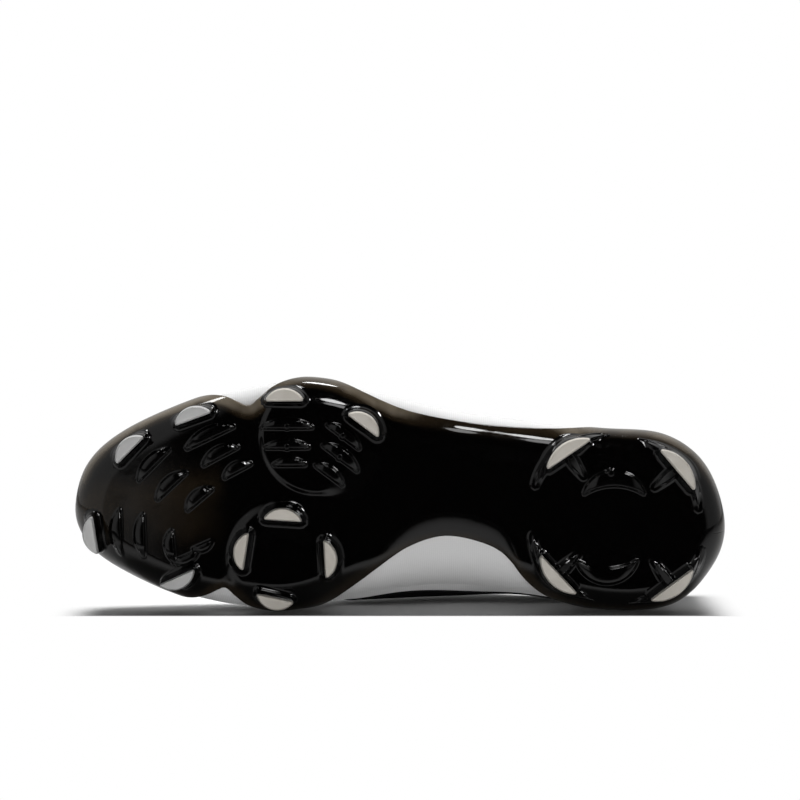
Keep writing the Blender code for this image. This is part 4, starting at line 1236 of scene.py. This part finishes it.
def smoky_plastic(skin):
    """Glossy black plastic that turns taupe where it is thin and where light and a reflection are
    painted into that tint, parted by a fine line at the heel.
    """
    material, tree, shader = new_material("smoky_plastic")
    place = own_place(tree)
    # The "thin" attribute holds the thin plastic's taupe, painted light on the lateral rim and a
    # painted reflection across the toe.
    thin = add_node(tree, "Attribute", attribute_name="thin").outputs["Fac"]
    cloud = noise(tree, place, 45.0, 2.5, 0.6)
    uneven = computed(tree, "MULTIPLY", thin, ranged(tree, cloud, 0.30, 0.70, 0.72, 1.18))
    brown = mixed(tree, ranged(tree, uneven, 0.03, 0.50), BLACK_DEEP, BROWN_THIN_AND_REFLECTED)
    taupe = mixed(tree, ranged(tree, uneven, 0.42, 1.0), brown, TAUPE_RIM)
    smear = ranged(tree, noise(tree, place, 300.0, 4.0), 0.3, 0.75, 0.04, 0.11)
    dress(tree, shader, {
        "Base Color": taupe, "Roughness": smear, "IOR": 1.5,
        "Coat Weight": 0.35, "Coat Roughness": 0.03,
    })
    grained = {"ripple": 1.0, "grain": 0.02, "fineness": 900.0}
    height = add_node(tree, "Group", node_tree=skin, vector=place, **grained).outputs["Height"]
    split = add_node(tree, "SeparateXYZ", vector=place)
    off = computed(tree, "ABSOLUTE", computed(tree, "SUBTRACT", split.outputs["Z"], PARTING_HEIGHT))
    crease = ranged(tree, off, *PARTING_HALF_WIDTHS, 1.0, 0.0)
    at_heel = ranged(tree, split.outputs["X"], PARTING_START, PARTING_START + 2 * MM)
    line = computed(tree, "MULTIPLY", crease, at_heel)
    parted = computed(tree, "MULTIPLY_ADD", line, -0.8, height)
    raise_surface(tree, shader, parted, 0.45, 0.28 * MM)
    return material


def tip_plastic(name, tones, skin):
    """The matt pale plastic of the stud tips, a little uneven in tone."""
    material, tree, shader = new_material(name)
    place = own_place(tree)
    cloud = ranged(tree, noise(tree, place, 120.0, 2.0), 0.25, 0.85)
    grained = {"ripple": 0.3, "grain": 0.5, "fineness": 2600.0}
    height = add_node(tree, "Group", node_tree=skin, vector=place, **grained).outputs["Height"]
    rough = ranged(tree, height, 0.2, 0.6, 0.36, 0.50)
    dress(tree, shader, {"Base Color": mixed(tree, cloud, *tones), "Roughness": rough})
    raise_surface(tree, shader, height, 0.35, 0.08 * MM)
    return material


def ribbed_textile():
    """White knit whose fine ribs run up from the sole, read from the upper's own UV map, with
    painted shade in the grooves between the ribs.
    """
    material, tree, shader = new_material("white_ribbed_textile")
    place = add_node(tree, "UVMap").outputs["UV"]
    split = add_node(tree, "SeparateXYZ", vector=place)
    open_up = ranged(tree, split.outputs["Y"], 12 * MM, 30 * MM, 0.30, 0.75)
    rib = computed(tree, "MULTIPLY", waves(tree, split.outputs["X"], RIB_PITCH), open_up)
    course = waves(tree, split.outputs["Y"], RIB_PITCH * 0.8)
    knit = computed(tree, "MULTIPLY_ADD", course, 0.20, rib)
    fibre = noise(tree, own_place(tree), FIBRE_SCALE, 3.0)
    height = computed(tree, "MULTIPLY_ADD", fibre, 0.30, knit)
    # Painted shade: the knit is greyer where the ribs' height is low, in their grooves.
    white = mixed(tree, ranged(tree, height, 0.15, 0.85), WHITE_GROOVE_SHADOW, WHITE_KNIT)
    dress(tree, shader, {
        "Base Color": white, "Roughness": 0.85, "Sheen Weight": 0.2, "Sheen Roughness": 0.4,
    })
    raise_surface(tree, shader, height, 0.22, 0.16 * MM)
    return material


def woven_fabric(name, threads, look, own_map=False):
    """A fabric whose look holds its colour, its painted shade between the threads, pitch, fuzz and
    finish.
    """
    colour, shade, pitch, fuzz, roughness, sheen = look
    material, tree, shader = new_material(name)
    place = add_node(tree, "UVMap").outputs["UV"] if own_map else own_place(tree)
    weave = add_node(tree, "Group", node_tree=threads, vector=place, pitch=pitch, fuzz=fuzz)
    height = weave.outputs["Height"]
    # Painted shade: the low places between the threads take the darker colour.
    tone = mixed(tree, ranged(tree, height, 0.05, 0.9), shade, colour)
    dress(tree, shader, {
        "Base Color": tone, "Roughness": roughness, "Sheen Weight": sheen,
        "Specular IOR Level": 0.1,
    })
    raise_surface(tree, shader, height, 0.5, 0.2 * MM)
    return material


def mark_thin_and_painted_light(made, share=1.0):
    """Stores how pale the smoky plastic looks at each point of a piece: taupe where it is thin,
    with painted light paling its uppermost lateral side and a painted reflection over the toe.
    """
    co = np.zeros(len(made.data.vertices) * 3)
    made.data.vertices.foreach_get("co", co)
    back = LYING.inverted()
    upright = co.reshape(-1, 3) @ np.array(back.to_3x3()).T + np.array(back.translation)
    x, y = upright[:, 0] / SHOE_LENGTH, upright[:, 1] / BALL_WIDTH
    outline = outline_points()
    edge = np.full(len(x), 1.0)
    for start in range(0, len(x), 4000):
        part = upright[start:start + 4000, None, :2] - outline[None]
        edge[start:start + 4000] = np.sqrt((part**2).sum(2)).min(1)
    lateral = smoothstep((y + 0.05) / 0.25)
    front = smoothstep((x - 0.42) / 0.12)
    heel = falling(x, 0.22, 0.08)
    band = falling(edge, 0.6 * MM, THIN_BAND - 1.5 * MM * (1 - lateral))
    # Painted light: the lateral side lies uppermost, so its rim, heel and front are weighted paler.
    everywhere, on_lateral, on_heel, on_front = THIN_AND_LIT_WEIGHTS
    weight = everywhere + lateral * (on_lateral + on_heel * heel + on_front * front)
    # Painted reflection: a brown band runs diagonally across the toe and along its middle, in place
    # of the studio's reflection there.
    toe = smoothstep((x - 0.745) / 0.04)
    slant = y - 0.12 - 0.35 * (0.88 - x)
    toe_tint_and_reflection = toe * (0.05 + 0.20 * ridge(slant, 0.085) + 0.16 * ridge(y + 0.02, 0.10))
    thin = np.maximum(band * weight, toe_tint_and_reflection) * share
    layer = made.data.attributes.new("thin", "FLOAT", "POINT")
    layer.data.foreach_set("value", thin.astype(np.float32))


def softbox(name, place, target, size, power, on_matt, in_gloss):
    """A soft light that shows on matt surfaces, in the gloss or both."""
    data = bpy.data.lights.new(name, "AREA")
    data.shape = "ELLIPSE"
    data.size, data.size_y = size
    data.energy = power
    made = add_object(name, data)
    made.location = place
    made.rotation_euler = (Vector(target) - Vector(place)).to_track_quat("-Z", "Y").to_euler()
    made.visible_diffuse = on_matt
    made.visible_glossy = in_gloss


def build_floor():
    """A pale floor that shades only close round the shoe and is lost in white beyond."""
    bm = bmesh.new()
    bmesh.ops.create_grid(bm, x_segments=1, y_segments=1, size=6.0)
    mesh = bpy.data.meshes.new("studio_floor")
    bm.to_mesh(mesh)
    bm.free()
    material, tree, shader = new_material("pale_floor")
    place = own_place(tree)
    split = add_node(tree, "SeparateXYZ", vector=place)
    pale = mixed(tree, noise(tree, place, 3.0, 2.0), *FLOOR_TONES)
    light = add_node(tree, "LightPath").outputs
    dim = ranged(tree, split.outputs["Y"], *FLOOR_DIMS, 0.0, FLOOR_IN_GLOSS)
    shown = mixed(tree, light["Is Glossy Ray"], pale, dim)
    dress(tree, shader, {"Base Color": shown, "Roughness": 0.7, "Specular IOR Level": 0.2})
    far = computed(tree, "ABSOLUTE", split.outputs["X"])
    beyond = ranged(tree, far, FLOOR_SHADE_X, FLOOR_SHADE_X + 25 * MM)
    near = FLOOR_SHADE_FRONT - 3 * MM
    ahead = ranged(tree, split.outputs["Y"], near, FLOOR_SHADE_FRONT, 1.0, 0.0)
    behind = ranged(tree, split.outputs["Y"], *FLOOR_SHADE_BACK)
    lost = computed(tree, "MAXIMUM", beyond, computed(tree, "MAXIMUM", ahead, behind))
    glow = add_node(tree, "Emission", color=(1, 1, 1, 1), strength=1.0)
    blend = tree.nodes.new("ShaderNodeMixShader")
    seen = computed(tree, "MULTIPLY", lost, light["Is Camera Ray"])
    for number, output in enumerate((seen, shader.outputs[0], glow.outputs[0])):
        tree.links.new(output, blend.inputs[number])
    tree.links.new(blend.outputs[0], tree.nodes["Material Output"].inputs["Surface"])
    mesh.materials.append(material)
    floor = add_object("studio_floor", mesh)


def build_world():
    """White behind the shoe, an even studio light, and dim walls in the gloss."""
    world = bpy.data.worlds.new("studio")
    bpy.context.scene.world = world
    world.use_nodes = True
    tree = world.node_tree
    back = tree.nodes["Background"]
    light = add_node(tree, "LightPath").outputs
    way = add_node(tree, "SeparateXYZ", vector=add_node(tree, "TexCoord").outputs["Generated"])
    x, y, z = (way.outputs[axis] for axis in "XYZ")
    ahead = ranged(tree, z, *AHEAD_FADE, ROOM_AHEAD, ROOM_AHEAD_HIGH)
    rear = ranged(tree, z, *REAR_FADE, ROOM_LOW, ROOM_HIGH)
    room = mixed(tree, ranged(tree, y, *TURN_FADE), ahead, rear)
    left = ranged(tree, x, *LEFT_FADE, WALL_LEFT, 0.0)
    right = ranged(tree, x, *RIGHT_FADE, 0.0, WALL_RIGHT)
    behind = ranged(tree, y, *BEHIND_FADE, 0.0, WALL_BEHIND)
    walls = computed(tree, "MAXIMUM", computed(tree, "MAXIMUM", left, right), behind)
    lit = mixed(tree, light["Is Glossy Ray"], room, walls)
    shown = mixed(tree, light["Is Camera Ray"], lit, (1.0, 1.0, 1.0, 1))
    tree.links.new(shown, back.inputs["Color"])
    back.inputs["Strength"].default_value = 1.0


def build_camera():
    """The photograph's view, square to the sole."""
    data = bpy.data.cameras.new("camera")
    camera = add_object("camera", data)
    data.lens = LENS
    tilt = math.radians(CAMERA_ELEVATION)
    aim = Vector(CAMERA_AIM)
    camera.location = aim + Vector((0, -math.cos(tilt), math.sin(tilt))) * CAMERA_DISTANCE
    camera.rotation_euler = (aim - camera.location).to_track_quat("-Z", "Y").to_euler()
    bpy.context.scene.camera = camera
    bpy.context.scene.view_settings.view_transform = "Standard"


def build_sole(skin, half):
    """The plate with its studs and ribs, all of one smoky plastic, and the pale tips."""
    black = smoky_plastic(skin)
    plate = build_plate(plate_ends(half, FINE), half)
    tree = sole_tree(plate)
    studs = finish_piece("stud_bodies", build_studs(tree), [black], sharp=50)
    ribs = finish_piece("low_ribs", build_ribs(tree), [black], sharp=50)
    plate = finish_piece("stud_plate", plate, [black], ["outsole"], sharp=50)
    mark_thin_and_painted_light(plate)
    mark_thin_and_painted_light(studs, STUD_THIN_AND_LIT)
    mark_thin_and_painted_light(ribs, RIB_THIN_AND_LIT)
    warm = tip_plastic("tip_plastic_warm", WARM_TONES, skin)
    cool = tip_plastic("tip_plastic_cool", COOL_TONES, skin)
    for name, along, across, facing, is_heel in STUDS:
        build_cap(name, along, across, facing, is_heel, cool if along > COOL_FROM else warm)


def main():
    skin, threads = grain_group(), weave_group()
    half = fine_stations(FINE)
    build_sole(skin, half)
    white = ribbed_textile()
    dark = woven_fabric("black_overlay", threads, OVERLAY_LOOK)
    lining = woven_fabric("lining_mesh", threads, LINING_LOOK)
    build_upper([white, dark, lining], half)
    build_tongue([lining], half)
    build_insole([woven_fabric("liner_fabric", threads, LINER_LOOK)], half)
    build_lace([woven_fabric("lace_weave", threads, LACE_LOOK, own_map=True)])
    sewn = woven_fabric("sewing_thread", threads, THREAD_LOOK)
    build_eyelets(sewn)
    build_stitches(sewn)
    build_floor()
    build_world()
    build_camera()
    for light in LIGHTS:
        softbox(*light)


LYING = frame_turn()
main()
